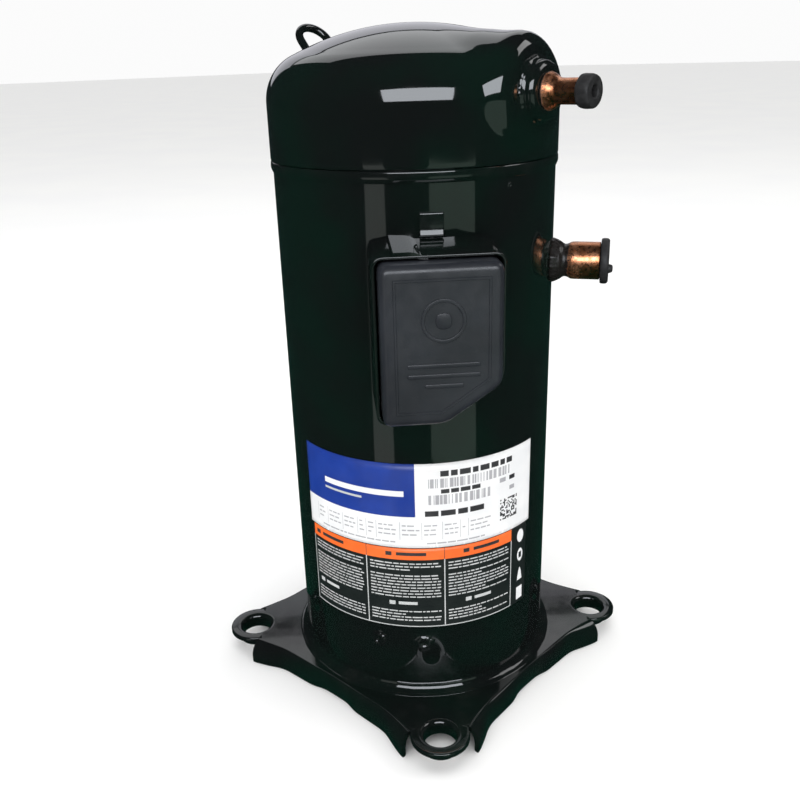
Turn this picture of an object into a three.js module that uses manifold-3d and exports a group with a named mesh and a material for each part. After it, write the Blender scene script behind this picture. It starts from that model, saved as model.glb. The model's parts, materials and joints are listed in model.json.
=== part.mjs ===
// Hermetic scroll compressor, millimetres, +Z up.
// The origin is the centre of the mounting-hole square, on the plane that the base skirts stand on.
// The shell axis is Z. The terminal box faces the corner between +X and -Y.

import * as THREE from 'three';
import { mergeVertices } from 'three/addons/utils/BufferGeometryUtils.js';
import Module from 'manifold-3d';

const wasm = await Module();
wasm.setup();

// ---------------------------------------------------------------- driving dimensions

const GAP = 0.3;                 // clearance between touching pieces
const SHEET = 3.5;               // shell, cap and base sheet thickness
const FINE = 48;                 // sides of the large rounds
const DISH_SIDES = 28;           // sides of the oil sump
const MEDIUM = 20;               // sides of the running parts
const COARSE = 16;               // sides of the small rounds
const SMALL = 12;                // sides of pins and screws

const SHELL_R = 92.25;
const SHELL_IN_R = SHELL_R - SHEET;
const CAP_R = 93.5;
const CAP_SKIRT_Z = 377.6;
const CAP_KNUCKLE_Z = 412;
const CAP_KNUCKLE_R = 30.5;
const CAP_CROWN_R = 173.4;
const CAP_TOP_Z = 457;

const HOLE_HALF = 95.25;         // half of the 190.5 mm mounting square
const HOLE_TOP_R = 13.3;
const HOLE_R = 11;
const EAR_R = 20;
const EAR_GAP_HALF = 25;         // half of the gap that the skirts leave at each ear
const PLATE_TOP_Z = 18;
const PLATE_UNDER_Z = PLATE_TOP_Z - SHEET;
const DISH_Z = 8;                // floor of the oil sump

const SUCTION_AZIMUTH = 28;
const SUCTION_Z = 309.3;
const SUCTION_BORE_R = 11.2;
const SUCTION_TUBE_R = 12.2;
const SUCTION_END = 123.4;

const DISCHARGE_Z = 416.5;
const DISCHARGE_BORE_R = 6.4;
const DISCHARGE_TUBE_R = 7.2;
const DISCHARGE_END = 124;
const LOOP_AZIMUTH = 175;
const PAD_FACE = 94.2;            // distance of the discharge pad from the shell axis

const BOX_AZIMUTH = -43.2;
const BOX_RIM = 126.5;           // distance of the fence rim from the shell axis
const BOX_HALF_WIDTH = 37.3;
const BOX_TOP_Z = 337;
const BOX_BOTTOM_Z = 238.5;
const BOX_CHAMFER = 24;          // height of the sloped lower corner
const FENCE_SHEET = 2;
const COVER_FACE = 139;
const TERMINAL_Z = 288;
const TERMINAL_R = 16;

const ORBIT_BASE_R = 2.7;        // base circle of the involutes
const WRAP = 3.6;                // thickness of the scroll wraps
const FLANK_GAP = 0.4;
const ORBIT = Math.PI * ORBIT_BASE_R - WRAP - FLANK_GAP;
const WRAP_START = 1.2 * Math.PI;
const WRAP_END = 6.6 * Math.PI;
const ORBITING_FLOOR_Z = 325.3;
const FIXED_FLOOR_Z = 358;
const FIXED_R = 80;
const FIXED_CAVITY_R = 66;
const THRUST_Z = 315.7;
const GUIDE_R = 73;              // radius of the guide bolt circle
const GUIDE_AZIMUTHS = [-115, -25, 65, 155];
const AXIAL_FLOAT = 1;           // lift of the non-orbiting scroll

const SHAFT_R = 16;
const PIN_R = 10;
const STACK_LOW_Z = 112;
const STACK_HIGH_Z = 212;
const ROTOR_R = 47.6;
const STATOR_IN_R = 48.4;
const STATOR_SLOTS = 18;

// ---------------------------------------------------------------- materials

function metal(color, roughness, metalness = 1) {
  return new THREE.MeshStandardMaterial({ color, roughness, metalness });
}

const BLACK_PAINT = () => metal(0x0b0e0d, 0.12, 0);
const COPPER = () => metal(0xb8734a, 0.35);
const RUBBER = () => metal(0x1d1e20, 0.8, 0);
const MOULDED = () => metal(0x23262b, 0.42, 0);
const STEEL = () => metal(0x9a9c9e, 0.4);
const CAST_IRON = () => metal(0x4c4d4e, 0.6);
const ALUMINIUM = () => metal(0xb9bcc0, 0.45);
const LAMINATION = () => metal(0x6d7074, 0.5);
const ENAMELLED_WIRE = () => metal(0x8e3f1c, 0.45, 0.4);
const BRONZE = () => metal(0xa57c45, 0.4);
const GLASS = () => metal(0x2c4436, 0.15, 0);
const LABEL = () => metal(0xd9dcdd, 0.5, 0);

// ---------------------------------------------------------------- solids

// Indexed, closed copy of a geometry, with shared vertices and its faces pointing out.
function closed(geometry) {
  const bare = geometry.clone();
  bare.deleteAttribute('normal');
  bare.deleteAttribute('uv');
  const merged = mergeVertices(bare, 1e-4);
  const points = merged.attributes.position;
  const source = merged.index.array;
  const corners = [];
  for (let i = 0; i < source.length; i += 3) {
    const [a, b, c] = [source[i], source[i + 1], source[i + 2]];
    if (a !== b && b !== c && c !== a) corners.push(a, b, c);
  }
  const [p, q, r] = [new THREE.Vector3(), new THREE.Vector3(), new THREE.Vector3()];
  let volume = 0;
  for (let i = 0; i < corners.length; i += 3) {
    p.fromBufferAttribute(points, corners[i]);
    q.fromBufferAttribute(points, corners[i + 1]);
    r.fromBufferAttribute(points, corners[i + 2]);
    volume += p.dot(q.cross(r));
  }
  if (volume < 0) corners.reverse();
  merged.setIndex(corners);
  return merged;
}

function solid(geometry) {
  const body = closed(geometry);
  return new wasm.Manifold(new wasm.Mesh({
    numProp: 3,
    vertProperties: new Float32Array(body.attributes.position.array),
    triVerts: new Uint32Array(body.index.array),
  }));
}

function geometryOf(body) {
  const result = body.getMesh();
  const geometry = new THREE.BufferGeometry();
  geometry.setAttribute('position', new THREE.BufferAttribute(new Float32Array(result.vertProperties), 3));
  geometry.setIndex(new THREE.BufferAttribute(new Uint32Array(result.triVerts), 1));
  return geometry;
}

// Round solid about Z from [radius, z] pairs that start and end on the axis or close on themselves.
function turned(profile, sides = MEDIUM) {
  const points = profile.map(([r, z]) => new THREE.Vector2(r, z));
  const onAxis = profile[0][0] === 0 && profile[profile.length - 1][0] === 0;
  if (!onAxis) points.push(points[0].clone());
  return new THREE.LatheGeometry(points, sides).rotateX(Math.PI / 2);
}

function rod(radius, low, high, sides = COARSE) {
  return turned([[0, low], [radius, low], [radius, high], [0, high]], sides);
}

function ring(inner, outer, low, high, sides = MEDIUM) {
  return turned([[inner, low], [outer, low], [outer, high], [inner, high]], sides);
}

function block(x, y, z, centre) {
  return new THREE.BoxGeometry(x, y, z).translate(...centre);
}

function plate(outline, low, high, curveSegments = 12) {
  const options = { depth: high - low, bevelEnabled: false, curveSegments };
  const geometry = new THREE.ExtrudeGeometry(outline, options);
  return geometry.translate(0, 0, low);
}

// Turns a shape made about Z so that its axis points outwards along +X.
function outwards(geometry) {
  return geometry.rotateY(Math.PI / 2);
}

function radians(degrees) {
  return THREE.MathUtils.degToRad(degrees);
}

// Points of an arc as [x, y] pairs.
function arc(cx, cy, radius, from, to, steps) {
  return Array.from({ length: steps + 1 }, (_, i) => {
    const angle = radians(from + (to - from) * i / steps);
    return [cx + radius * Math.cos(angle), cy + radius * Math.sin(angle)];
  });
}

function outlineOf(pairs) {
  return new THREE.Shape(pairs.map(([x, y]) => new THREE.Vector2(x, y)));
}

const compressor = new THREE.Group();

function add(name, shape, material, parent = compressor) {
  const geometry = shape instanceof THREE.BufferGeometry ? closed(shape) : geometryOf(shape);
  const mesh = new THREE.Mesh(geometry, material);
  mesh.name = name;
  parent.add(mesh);
  return mesh;
}

// ---------------------------------------------------------------- base stamping

// Outline of the stamping between the feet: four concave flanks joined by straight corner lines.
function flankOutline(inset) {
  const flank = [[-86, 114.5], [-76, 112.5], [-62, 106.8], [-46, 104.6], [-24, 104], [0, 100.6],
    [24, 104], [46, 104.6], [62, 106.8], [76, 112.5], [86, 114.5]];
  const curve = new THREE.SplineCurve(flank.map(([along, out]) => new THREE.Vector2(along, inset - out)));
  const side = curve.getPoints(10);
  const points = [];
  for (let turn = 0; turn < 4; turn += 1) {
    for (const point of side) {
      points.push(point.clone().rotateAround(new THREE.Vector2(), turn * Math.PI / 2));
    }
  }
  return new THREE.Shape(points);
}

function atFeet(build) {
  const feet = [[1, -1], [1, 1], [-1, 1], [-1, -1]];
  return feet.map(([x, y]) => build(x * HOLE_HALF, y * HOLE_HALF, Math.atan2(y, x)));
}

function basePlate() {
  const bend = {
    depth: 20,
    bevelEnabled: true,
    bevelSize: 3.6,
    bevelThickness: 5,
    bevelOffset: -3.6,
    bevelSegments: 1,
  };
  const outer = new THREE.ExtrudeGeometry(flankOutline(0), bend).translate(0, 0, PLATE_TOP_Z - 25);
  const floorCut = block(300, 300, 20, [0, 0, -10]);
  let body = solid(outer).subtract(solid(floorCut));
  body = body.subtract(solid(plate(flankOutline(SHEET), -5, PLATE_UNDER_Z)));
  const windows = atFeet((x, y, angle) => {
    return block(60, 2 * EAR_GAP_HALF, 30, [160, 0, PLATE_UNDER_Z - 15]).rotateZ(angle);
  });
  for (const window of windows) body = body.subtract(solid(window));
  const discs = atFeet((x, y, angle) => {
    return rod(EAR_R, PLATE_UNDER_Z, PLATE_TOP_Z, 20).rotateZ(angle).translate(x, y, 0);
  });
  for (const disc of discs) body = body.add(solid(disc));

  const dish = turned([
    [0, DISH_Z - SHEET], [79.2, DISH_Z - SHEET], [84.2, PLATE_UNDER_Z], [88, PLATE_UNDER_Z],
    [88, PLATE_TOP_Z], [82, PLATE_TOP_Z], [77, DISH_Z], [0, DISH_Z],
  ], DISH_SIDES);
  body = body.subtract(solid(rod(86.5, PLATE_UNDER_Z - 1, PLATE_TOP_Z + 1, DISH_SIDES))).add(solid(dish));

  // Each foot hole is drawn down into a short collar with a rounded mouth.
  const collar = turned([
    [HOLE_R - 1, 7], [HOLE_R + 3, 7], [HOLE_R + 3, 12], [17, PLATE_TOP_Z - 1],
    [HOLE_R - 1, PLATE_TOP_Z - 1],
  ], 16);
  const mouth = turned([
    [0, 5], [HOLE_R, 5], [HOLE_R, 13], [HOLE_TOP_R, PLATE_TOP_Z], [HOLE_TOP_R, 20], [0, 20],
  ], 16);
  atFeet((x, y, angle) => {
    body = body.add(solid(collar.clone().rotateZ(angle).translate(x, y, 0)));
    body = body.subtract(solid(mouth.clone().rotateZ(angle).translate(x, y, 0)));
  });
  return body;
}

add('base_plate', basePlate(), BLACK_PAINT());

const SHELL_FOOT_Z = PLATE_TOP_Z + GAP;
const FILLET = [[SHELL_R + GAP, SHELL_FOOT_Z], [98.2, SHELL_FOOT_Z], [94.6, 20.6], [SHELL_R + GAP, 23.6]];
add('base_weld', turned(FILLET, FINE), BLACK_PAINT());

// ---------------------------------------------------------------- shell and cap

function radialHole(radius, azimuth, z, from, to) {
  return solid(outwards(rod(radius, from, to)).rotateZ(radians(azimuth)).translate(0, 0, z));
}

const NECK_TOP_Z = 396;

function centreShell() {
  const neckZ = CAP_SKIRT_Z - GAP;
  const neckR = CAP_R - SHEET - GAP;
  const profile = [
    [SHELL_IN_R, SHELL_FOOT_Z], [SHELL_R, SHELL_FOOT_Z], [SHELL_R, neckZ - 3], [neckR, neckZ],
    [neckR, NECK_TOP_Z], [neckR - SHEET, NECK_TOP_Z], [neckR - SHEET, neckZ - 1], [SHELL_IN_R, neckZ - 5],
  ];
  return solid(turned(profile, FINE))
    .subtract(radialHole(SUCTION_TUBE_R + GAP, SUCTION_AZIMUTH, SUCTION_Z, 60, 110))
    .subtract(radialHole(TERMINAL_R + GAP, BOX_AZIMUTH, TERMINAL_Z, 60, 110));
}

add('centre_shell', centreShell(), BLACK_PAINT());

const BEAD = [[SHELL_R + GAP, 370.6], [94, 373.6], [93.4, 377.2], [90.4, 377.2], [SHELL_R + GAP, 374.8]];
add('cap_weld', turned(BEAD, FINE), BLACK_PAINT());

// Half section of the domed cap at a distance inside its outer surface, from the skirt to the axis.
function capSection(depth) {
  const knuckleX = CAP_R - CAP_KNUCKLE_R;
  const crownZ = CAP_TOP_Z - CAP_CROWN_R;
  const meet = THREE.MathUtils.radToDeg(Math.atan2(CAP_KNUCKLE_Z - crownZ, knuckleX));
  const knuckle = arc(knuckleX, CAP_KNUCKLE_Z, CAP_KNUCKLE_R - depth, 0, meet, 3);
  const crown = arc(0, crownZ, CAP_CROWN_R - depth, meet, 90, 2).slice(1);
  crown[crown.length - 1][0] = 0;
  return [[CAP_R - depth, CAP_SKIRT_Z], ...knuckle, ...crown];
}

const BOSS_R = 16.9;

// The discharge fitting stands on a pad that is pushed out of the cap's shoulder.
function dischargePad(depth) {
  const face = PAD_FACE - depth;
  const edge = arc(face - 12, 21 - depth, 12, 0, 90, 3).map(([along, radius]) => [radius, along]);
  const profile = [[0, 20], [28 - depth, 20], [33 - depth, 60 - depth], ...edge.reverse(), [0, face]];
  return outwards(turned(profile)).translate(0, 0, DISCHARGE_Z);
}

function topCap() {
  const outline = [[0, CAP_SKIRT_Z], ...capSection(0)];
  const hollow = [[0, CAP_SKIRT_Z - 5], [CAP_R - SHEET, CAP_SKIRT_Z - 5], ...capSection(SHEET)];
  const outer = solid(turned(outline, FINE)).add(solid(dischargePad(0)));
  const inner = solid(turned(hollow, FINE)).add(solid(dischargePad(SHEET)));
  return outer.subtract(inner).subtract(radialHole(BOSS_R + 0.5, 0, DISCHARGE_Z, 60, 110));
}

add('top_cap', topCap(), BLACK_PAINT());

// Bent lifting rod, welded to the shoulder nearly opposite the discharge fitting.
function liftingLoop() {
  const rodR = 2.75;
  const half = 12;
  const tilt = radians(47);
  const foot = new THREE.Vector3(-(CAP_R - CAP_KNUCKLE_R), 0, CAP_KNUCKLE_Z);
  const up = new THREE.Vector3(-Math.cos(tilt), 0, Math.sin(tilt));
  const across = new THREE.Vector3(0, 1, 0);
  const at = (side, height) => foot.clone().addScaledVector(across, side).addScaledVector(up, height);
  const start = CAP_KNUCKLE_R + 2 * GAP;
  const bendAt = CAP_KNUCKLE_R + 20.5;
  const path = [at(-half, start), at(-half, start + 6), at(-half, bendAt - 6)];
  for (const [x, y] of arc(0, 0, half, 180, 0, 8)) path.push(at(x, bendAt + y));
  path.push(at(half, bendAt - 6), at(half, start + 6), at(half, start));
  const section = outlineOf(arc(0, 0, rodR, 0, 315, 7));
  const curve = new THREE.CatmullRomCurve3(path, false, 'centripetal');
  const rod = new THREE.ExtrudeGeometry(section, { steps: 22, extrudePath: curve, bevelEnabled: false });
  return rod.rotateZ(radians(LOOP_AZIMUTH - 180));
}

add('lifting_loop', liftingLoop(), BLACK_PAINT());

// ---------------------------------------------------------------- discharge and suction fittings

const discharge = new THREE.Group();
discharge.position.z = DISCHARGE_Z;
compressor.add(discharge);

const BOSS_FRONT = 103;
const BOSS = [
  [DISCHARGE_TUBE_R + GAP, 90.2], [BOSS_R, 90.2], [BOSS_R, PAD_FACE + GAP], [19.7, PAD_FACE + GAP], [19.3, 96.2],
  [BOSS_R, 97.4], [BOSS_R, BOSS_FRONT - 4], [15.6, BOSS_FRONT - 1.4], [12.6, BOSS_FRONT],
  [DISCHARGE_TUBE_R + GAP, BOSS_FRONT],
];
add('discharge_boss', outwards(turned(BOSS, COARSE)), BLACK_PAINT(), discharge);

const COPPER_STUB = [
  [DISCHARGE_BORE_R, 80], [DISCHARGE_TUBE_R, 80], [DISCHARGE_TUBE_R, BOSS_FRONT + GAP],
  [10.8, BOSS_FRONT + GAP], [10.6, 105], [9, 107.6], [7.5, 110], [DISCHARGE_TUBE_R, 111.5],
  [DISCHARGE_TUBE_R, DISCHARGE_END], [DISCHARGE_BORE_R, DISCHARGE_END],
];
add('discharge_stub', outwards(turned(COPPER_STUB, COARSE)), COPPER(), discharge);

const STOPPER = [
  [0, 116], [5.6, 116], [6.1, 117], [6.1, DISCHARGE_END + GAP], [9.1, DISCHARGE_END + GAP],
  [9.4, 131], [8.8, 132.6], [3.4, 132.6], [3.2, 121], [0, 121],
];
add('discharge_plug', outwards(turned(STOPPER, COARSE)), RUBBER(), discharge);

const suction = new THREE.Group();
suction.rotation.z = radians(SUCTION_AZIMUTH);
suction.position.z = SUCTION_Z;
compressor.add(suction);

const SUCTION_STUB = [
  [SUCTION_BORE_R, 85], [SUCTION_TUBE_R, 85], [SUCTION_TUBE_R, 92.9], [13.4, 92.9], [13.4, 96.2],
  [12.3, 97.4], [10.6, 99.8], [10.6, 101.8], [SUCTION_TUBE_R, 104.8], [SUCTION_TUBE_R, SUCTION_END],
  [SUCTION_BORE_R, SUCTION_END], [SUCTION_BORE_R, 104], [9.6, 100.8], [SUCTION_BORE_R, 97.6],
];
add('suction_stub', outwards(turned(SUCTION_STUB, COARSE)), COPPER(), suction);

function suctionCap() {
  const flange = SUCTION_END + GAP;
  const profile = [
    [0, 122], [9.4, 122], [9.4, 115], [10.9, 115], [10.9, flange], [14.6, flange], [14.9, flange + 4],
    [14.3, 129], [0, 129],
  ];
  const nub = new THREE.SphereGeometry(3, 12, 8).translate(129, 0, -5);
  return solid(outwards(turned(profile, COARSE))).add(solid(nub));
}

add('suction_cap', suctionCap(), RUBBER(), suction);

// ---------------------------------------------------------------- terminal box

const box = new THREE.Group();
box.rotation.z = radians(BOX_AZIMUTH);
compressor.add(box);

// Outline of the box seen from outside, as [across, up], with its lower right corner sloped off.
function boxOutline(inset, radius) {
  const right = BOX_HALF_WIDTH - inset;
  const top = BOX_TOP_Z - inset;
  const bottom = BOX_BOTTOM_Z + inset;
  const slopeTop = BOX_BOTTOM_Z + BOX_CHAMFER + inset / 2;
  return [
    ...arc(right - radius, top - radius, radius, 0, 90, 4),
    ...arc(-right + radius, top - radius, radius, 90, 180, 4),
    ...arc(-right + radius, bottom + radius, radius, 180, 270, 4),
    [1.5, bottom],
    [right, slopeTop],
  ];
}

const STAND = new THREE.Matrix4().set(0, 0, 1, 0, 1, 0, 0, 0, 0, 1, 0, 0, 0, 0, 0, 1);

// Stands an [across, up] outline up so that it is extruded outwards along +X.
function outwardPlate(outline, low, high) {
  return plate(outline, low, high).applyMatrix4(STAND);
}

function terminalFence() {
  const clearOfShell = solid(rod(SHELL_R + GAP, 200, 380, FINE));
  const outer = solid(outwardPlate(outlineOf(boxOutline(0, 7)), 70, BOX_RIM));
  const lap = solid(block(BOX_RIM - 75, 14, 4, [(BOX_RIM + 75) / 2, -19.5, BOX_TOP_Z]));
  const inner = solid(outwardPlate(outlineOf(boxOutline(FENCE_SHEET, 5)), 60, BOX_RIM + 5));
  return outer.add(lap).subtract(inner).subtract(clearOfShell);
}

add('terminal_fence', terminalFence(), BLACK_PAINT(), box);

function terminalCover() {
  const fit = FENCE_SHEET + 1;
  const bevel = {
    depth: 13,
    bevelEnabled: true,
    bevelSize: 3.4,
    bevelThickness: 5,
    bevelOffset: -3.4,
    bevelSegments: 3,
  };
  const shell = new THREE.ExtrudeGeometry(outlineOf(boxOutline(fit, 5)), bevel);
  shell.applyMatrix4(STAND).translate(COVER_FACE - 18, 0, 0);
  const back = block(12, 100, 140, [COVER_FACE - 25, 0, TERMINAL_Z]);
  const hollow = outwardPlate(outlineOf(boxOutline(fit + 3.8, 3)), 100, COVER_FACE - 2);
  return solid(shell).subtract(solid(back)).subtract(solid(hollow));
}

add('terminal_cover', terminalCover(), MOULDED(), box);
add('fence_tab', block(1.8, 14, 14.5, [SHELL_R + 1.6, 0, 347.2]), BLACK_PAINT(), box);

const terminal = new THREE.Group();
terminal.position.z = TERMINAL_Z;
box.add(terminal);

const PINS = [90, 210, 330].map((angle) => [8 * Math.cos(radians(angle)), 8 * Math.sin(radians(angle))]);
const GLASS_R = 3.2;
const TERMINAL_PIN_R = 1.6;

function terminalCup() {
  const profile = [[0, 91], [12.6, 91], [12.6, 85], [TERMINAL_R, 85], [TERMINAL_R, 93.6], [0, 93.6]];
  let cup = solid(outwards(turned(profile, COARSE)));
  for (const [y, z] of PINS) {
    const seat = outwards(rod(GLASS_R + 0.1, 80, 100, SMALL)).translate(0, y, z);
    cup = cup.subtract(solid(seat));
  }
  return cup;
}

add('terminal_cup', terminalCup(), STEEL(), terminal);
PINS.forEach(([y, z], index) => {
  const bead = outwards(ring(TERMINAL_PIN_R + 0.1, GLASS_R, 90, 96, SMALL)).translate(0, y, z);
  add(`terminal_glass_${index + 1}`, bead, GLASS(), terminal);
  const pin = outwards(rod(TERMINAL_PIN_R, 80.5, 113, SMALL)).translate(0, y, z);
  add(`terminal_pin_${index + 1}`, pin, STEEL(), terminal);
});

function terminalBlock() {
  let body = solid(block(12, 34, 30, [104, 0, 0]));
  for (const [y, z] of PINS) {
    const hole = outwards(rod(2.4, 90, 120, SMALL)).translate(0, y, z);
    body = body.subtract(solid(hole));
  }
  return body;
}

add('terminal_block', terminalBlock(), MOULDED(), terminal);
const GROUND_SCREW = [[0, 92.4], [2.5, 92.4], [2.5, 101], [5, 101], [5, 103.2], [4, 104.4], [0, 104.4]];
add('ground_screw', outwards(turned(GROUND_SCREW, SMALL)).translate(0, -23, -36), BRONZE(), terminal);

// ---------------------------------------------------------------- labels

// Thin sheet wrapped on the shell between two azimuths and two heights.
function wrappedLabel(from, to, low, high) {
  const inner = SHELL_R + GAP;
  const sheet = 0.3;
  const pairs = [...arc(0, 0, inner + sheet, from, to, 24), ...arc(0, 0, inner, to, from, 24)];
  return plate(outlineOf(pairs), low, high);
}

add('nameplate_label', wrappedLabel(-105.5, 4.5, 134.6, 195.8), LABEL());
add('warning_label', wrappedLabel(-104, 2.5, 72, 133.9), metal(0x15181a, 0.5, 0));

// ---------------------------------------------------------------- scroll set

// Closed outline of an involute wall of the wrap thickness.
function wrapOutline(steps) {
  const half = WRAP / (2 * ORBIT_BASE_R);
  const flank = (shift) => Array.from({ length: steps + 1 }, (_, i) => {
    const angle = WRAP_START + (WRAP_END - WRAP_START) * i / steps;
    const roll = angle + shift;
    const x = Math.cos(angle) + roll * Math.sin(angle);
    const y = Math.sin(angle) - roll * Math.cos(angle);
    return [ORBIT_BASE_R * x, ORBIT_BASE_R * y];
  });
  return outlineOf([...flank(half), ...flank(-half).reverse()]);
}

const WRAP_STEPS = 84;
const FIXED_TOP_Z = 376;
const SEAL_WALL_Z = 396;

function fixedScroll() {
  const body = turned([
    [0, FIXED_FLOOR_Z], [FIXED_CAVITY_R, FIXED_FLOOR_Z], [FIXED_CAVITY_R, 322], [FIXED_R, 322],
    [FIXED_R, FIXED_TOP_Z], [47, FIXED_TOP_Z], [47, SEAL_WALL_Z], [41.5, SEAL_WALL_Z], [41.5, 374], [19, 374],
    [19, SEAL_WALL_Z], [0, SEAL_WALL_Z],
  ], 28);
  const wrap = plate(wrapOutline(WRAP_STEPS), ORBITING_FLOOR_Z + GAP, FIXED_FLOOR_Z + 2).rotateZ(Math.PI);
  const port = rod(6, 350, 400, SMALL);
  const inlet = block(40, 34, 22, [FIXED_R, 0, 338]).rotateZ(radians(SUCTION_AZIMUTH));
  let scroll = solid(body).add(solid(wrap)).subtract(solid(port)).subtract(solid(inlet));
  for (const azimuth of GUIDE_AZIMUTHS) {
    const hole = rod(6.4, 300, 380, SMALL).translate(GUIDE_R, 0, 0).rotateZ(radians(azimuth));
    scroll = scroll.subtract(solid(hole));
  }
  return scroll;
}

add('fixed_scroll', fixedScroll(), CAST_IRON());

const crank = new THREE.Group();
crank.position.x = ORBIT;
compressor.add(crank);

const HUB_BORE_R = 19;
const KEY = 8;

function orbitingScroll() {
  const body = turned([
    [0, THRUST_Z + GAP], [HUB_BORE_R, THRUST_Z + GAP], [HUB_BORE_R, 300], [24, 300], [24, THRUST_Z + GAP],
    [60, THRUST_Z + GAP], [60, ORBITING_FLOOR_Z], [0, ORBITING_FLOOR_Z],
  ]);
  const wrap = plate(wrapOutline(WRAP_STEPS), ORBITING_FLOOR_Z - 2, FIXED_FLOOR_Z - GAP);
  const keyway = 4 * ORBIT + KEY + 1.5;
  let scroll = solid(body).add(solid(wrap));
  for (const side of [-1, 1]) {
    const slot = block(keyway, 30, 6, [0, side * (44.6 + 15), THRUST_Z + 2.6]);
    scroll = scroll.subtract(solid(slot));
  }
  return scroll;
}

add('orbiting_scroll', orbitingScroll(), CAST_IRON(), crank);
add('drive_bearing', ring(15.3, HUB_BORE_R - GAP, 300.4, 314.6), BRONZE(), crank);
add('drive_bushing', ring(PIN_R + GAP, 15, 300.4, 314), STEEL(), crank);

function oldhamRing() {
  let body = solid(ring(50, 57, 306, 313));
  for (const side of [-1, 1]) {
    body = body.add(solid(block(KEY, 6, 10, [0, side * 53.5, 315])));
    body = body.add(solid(block(6, KEY, 8, [side * 53.5, 0, 304])));
  }
  return body;
}

add('oldham_ring', oldhamRing(), ALUMINIUM());

function mainHousing() {
  const profile = [
    [19.3, 268], [27, 268], [28, 288], [76, 297], [FIXED_R, 301], [FIXED_R, 321.7], [FIXED_CAVITY_R, 321.7],
    [FIXED_CAVITY_R, 315], [64, 305.7], [44.5, 305.7], [44.5, THRUST_Z], [30.5, THRUST_Z], [30.5, 299.6],
    [19.3, 299.6],
  ];
  const reach = solid(rod(SHELL_IN_R - GAP, 290, 330, FINE));
  let body = solid(turned(profile, 28));
  for (const azimuth of GUIDE_AZIMUTHS) {
    const arm = solid(block(16, 26, 12, [81.5, 0, 307])).intersect(reach);
    const bolt = solid(rod(4.3, 290, 330, SMALL).translate(GUIDE_R, 0, 0));
    body = body.add(arm.rotate([0, 0, azimuth])).subtract(bolt.rotate([0, 0, azimuth]));
  }
  for (const side of [-1, 1]) {
    body = body.subtract(solid(block(6 + 2 * ORBIT + 1, KEY + 0.6, 8, [side * 53.5, 0, 303.5])));
  }
  return body;
}

add('main_housing', mainHousing(), CAST_IRON());
add('main_bearing', ring(SHAFT_R + GAP, 19, 268.3, 299.2), BRONZE());

GUIDE_AZIMUTHS.forEach((azimuth, index) => {
  const turn = radians(azimuth);
  const headZ = FIXED_TOP_Z + GAP + AXIAL_FLOAT;
  const bolt = turned([
    [0, 302], [4, 302], [4, headZ + GAP], [7.2, headZ + GAP], [7.2, headZ + 5.3], [0, headZ + 5.3],
  ], SMALL);
  add(`guide_bolt_${index + 1}`, bolt.translate(GUIDE_R, 0, 0).rotateZ(turn), STEEL());
  const sleeve = ring(4.3, 6.1, 322, headZ, SMALL);
  add(`guide_sleeve_${index + 1}`, sleeve.translate(GUIDE_R, 0, 0).rotateZ(turn), STEEL());
});

// ---------------------------------------------------------------- discharge side above the scrolls

const SEAL = [
  [20.5, 374.4], [40, 374.4], [40, 394], [30, 397], [27, 401.4], [23.5, 401.4], [22.5, 397], [20.5, 394],
];
add('floating_seal', turned(SEAL), CAST_IRON());

const RELIEF_X = -56;
const RELIEF_Y = -20;
const RELIEF = [[0, 401], [5, 401], [5, 408.4], [8, 408.4], [8, 414], [0, 414]];

function partitionPlate() {
  const rim = CAP_R - SHEET - GAP;
  const profile = [
    [14, 404.6], [68, 404.6], [80, 396.3], [rim, 396.3], [rim, 399.8], [81, 399.8], [69.5, 408.1], [14, 408.1],
  ];
  return solid(turned(profile)).subtract(solid(rod(5.4, 400, 412, SMALL).translate(RELIEF_X, RELIEF_Y, 0)));
}

add('partition_plate', partitionPlate(), STEEL());
add('relief_valve', turned(RELIEF, 6).translate(RELIEF_X, RELIEF_Y, 0), BRONZE());
add('check_valve_disc', rod(17, 408.4, 410), STEEL());

function valveRetainer() {
  const profile = [
    [18, 408.4], [23, 408.4], [23, 411], [21, 411], [21, 416], [5, 416], [5, 413.8], [18, 413.8],
  ];
  let body = solid(turned(profile, COARSE));
  for (const turn of [0, Math.PI / 2]) {
    const window = block(60, 10, 2.6, [0, 0, 412.4]).rotateZ(turn);
    body = body.subtract(solid(window));
  }
  return body;
}

add('valve_retainer', valveRetainer(), STEEL());

// ---------------------------------------------------------------- shaft and motor

function crankshaft() {
  const body = turned([
    [0, 44], [9.4, 44], [PIN_R, 45], [PIN_R, 84], [SHAFT_R, 86], [SHAFT_R, 299.2], [0, 299.2],
  ]);
  const pin = rod(PIN_R, 290, 313, 32).translate(ORBIT, 0, 0);
  const oilway = rod(2.2, 30, 320, 12).translate(4, 0, 0);
  return solid(body).add(solid(pin)).subtract(solid(oilway));
}

add('crankshaft', crankshaft(), STEEL());

// Half-ring balance weight with a full collar round the shaft.
function counterweight(inner, outer, low, high, side) {
  const half = solid(block(outer, 2 * outer, 60, [-side * outer / 2, 0, (low + high) / 2]));
  const weight = solid(ring(inner, outer, low, high)).subtract(half);
  return weight.add(solid(ring(inner, inner + 5, low, high)));
}

add('upper_counterweight', counterweight(SHAFT_R + GAP, 44, 248, 264, -1), BRONZE());
add('rotor', ring(SHAFT_R + GAP, ROTOR_R, STACK_LOW_Z, STACK_HIGH_Z), LAMINATION());
add('lower_counterweight', counterweight(SHAFT_R + GAP, 42, 98, STACK_LOW_Z - GAP, 1), BRONZE());

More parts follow.
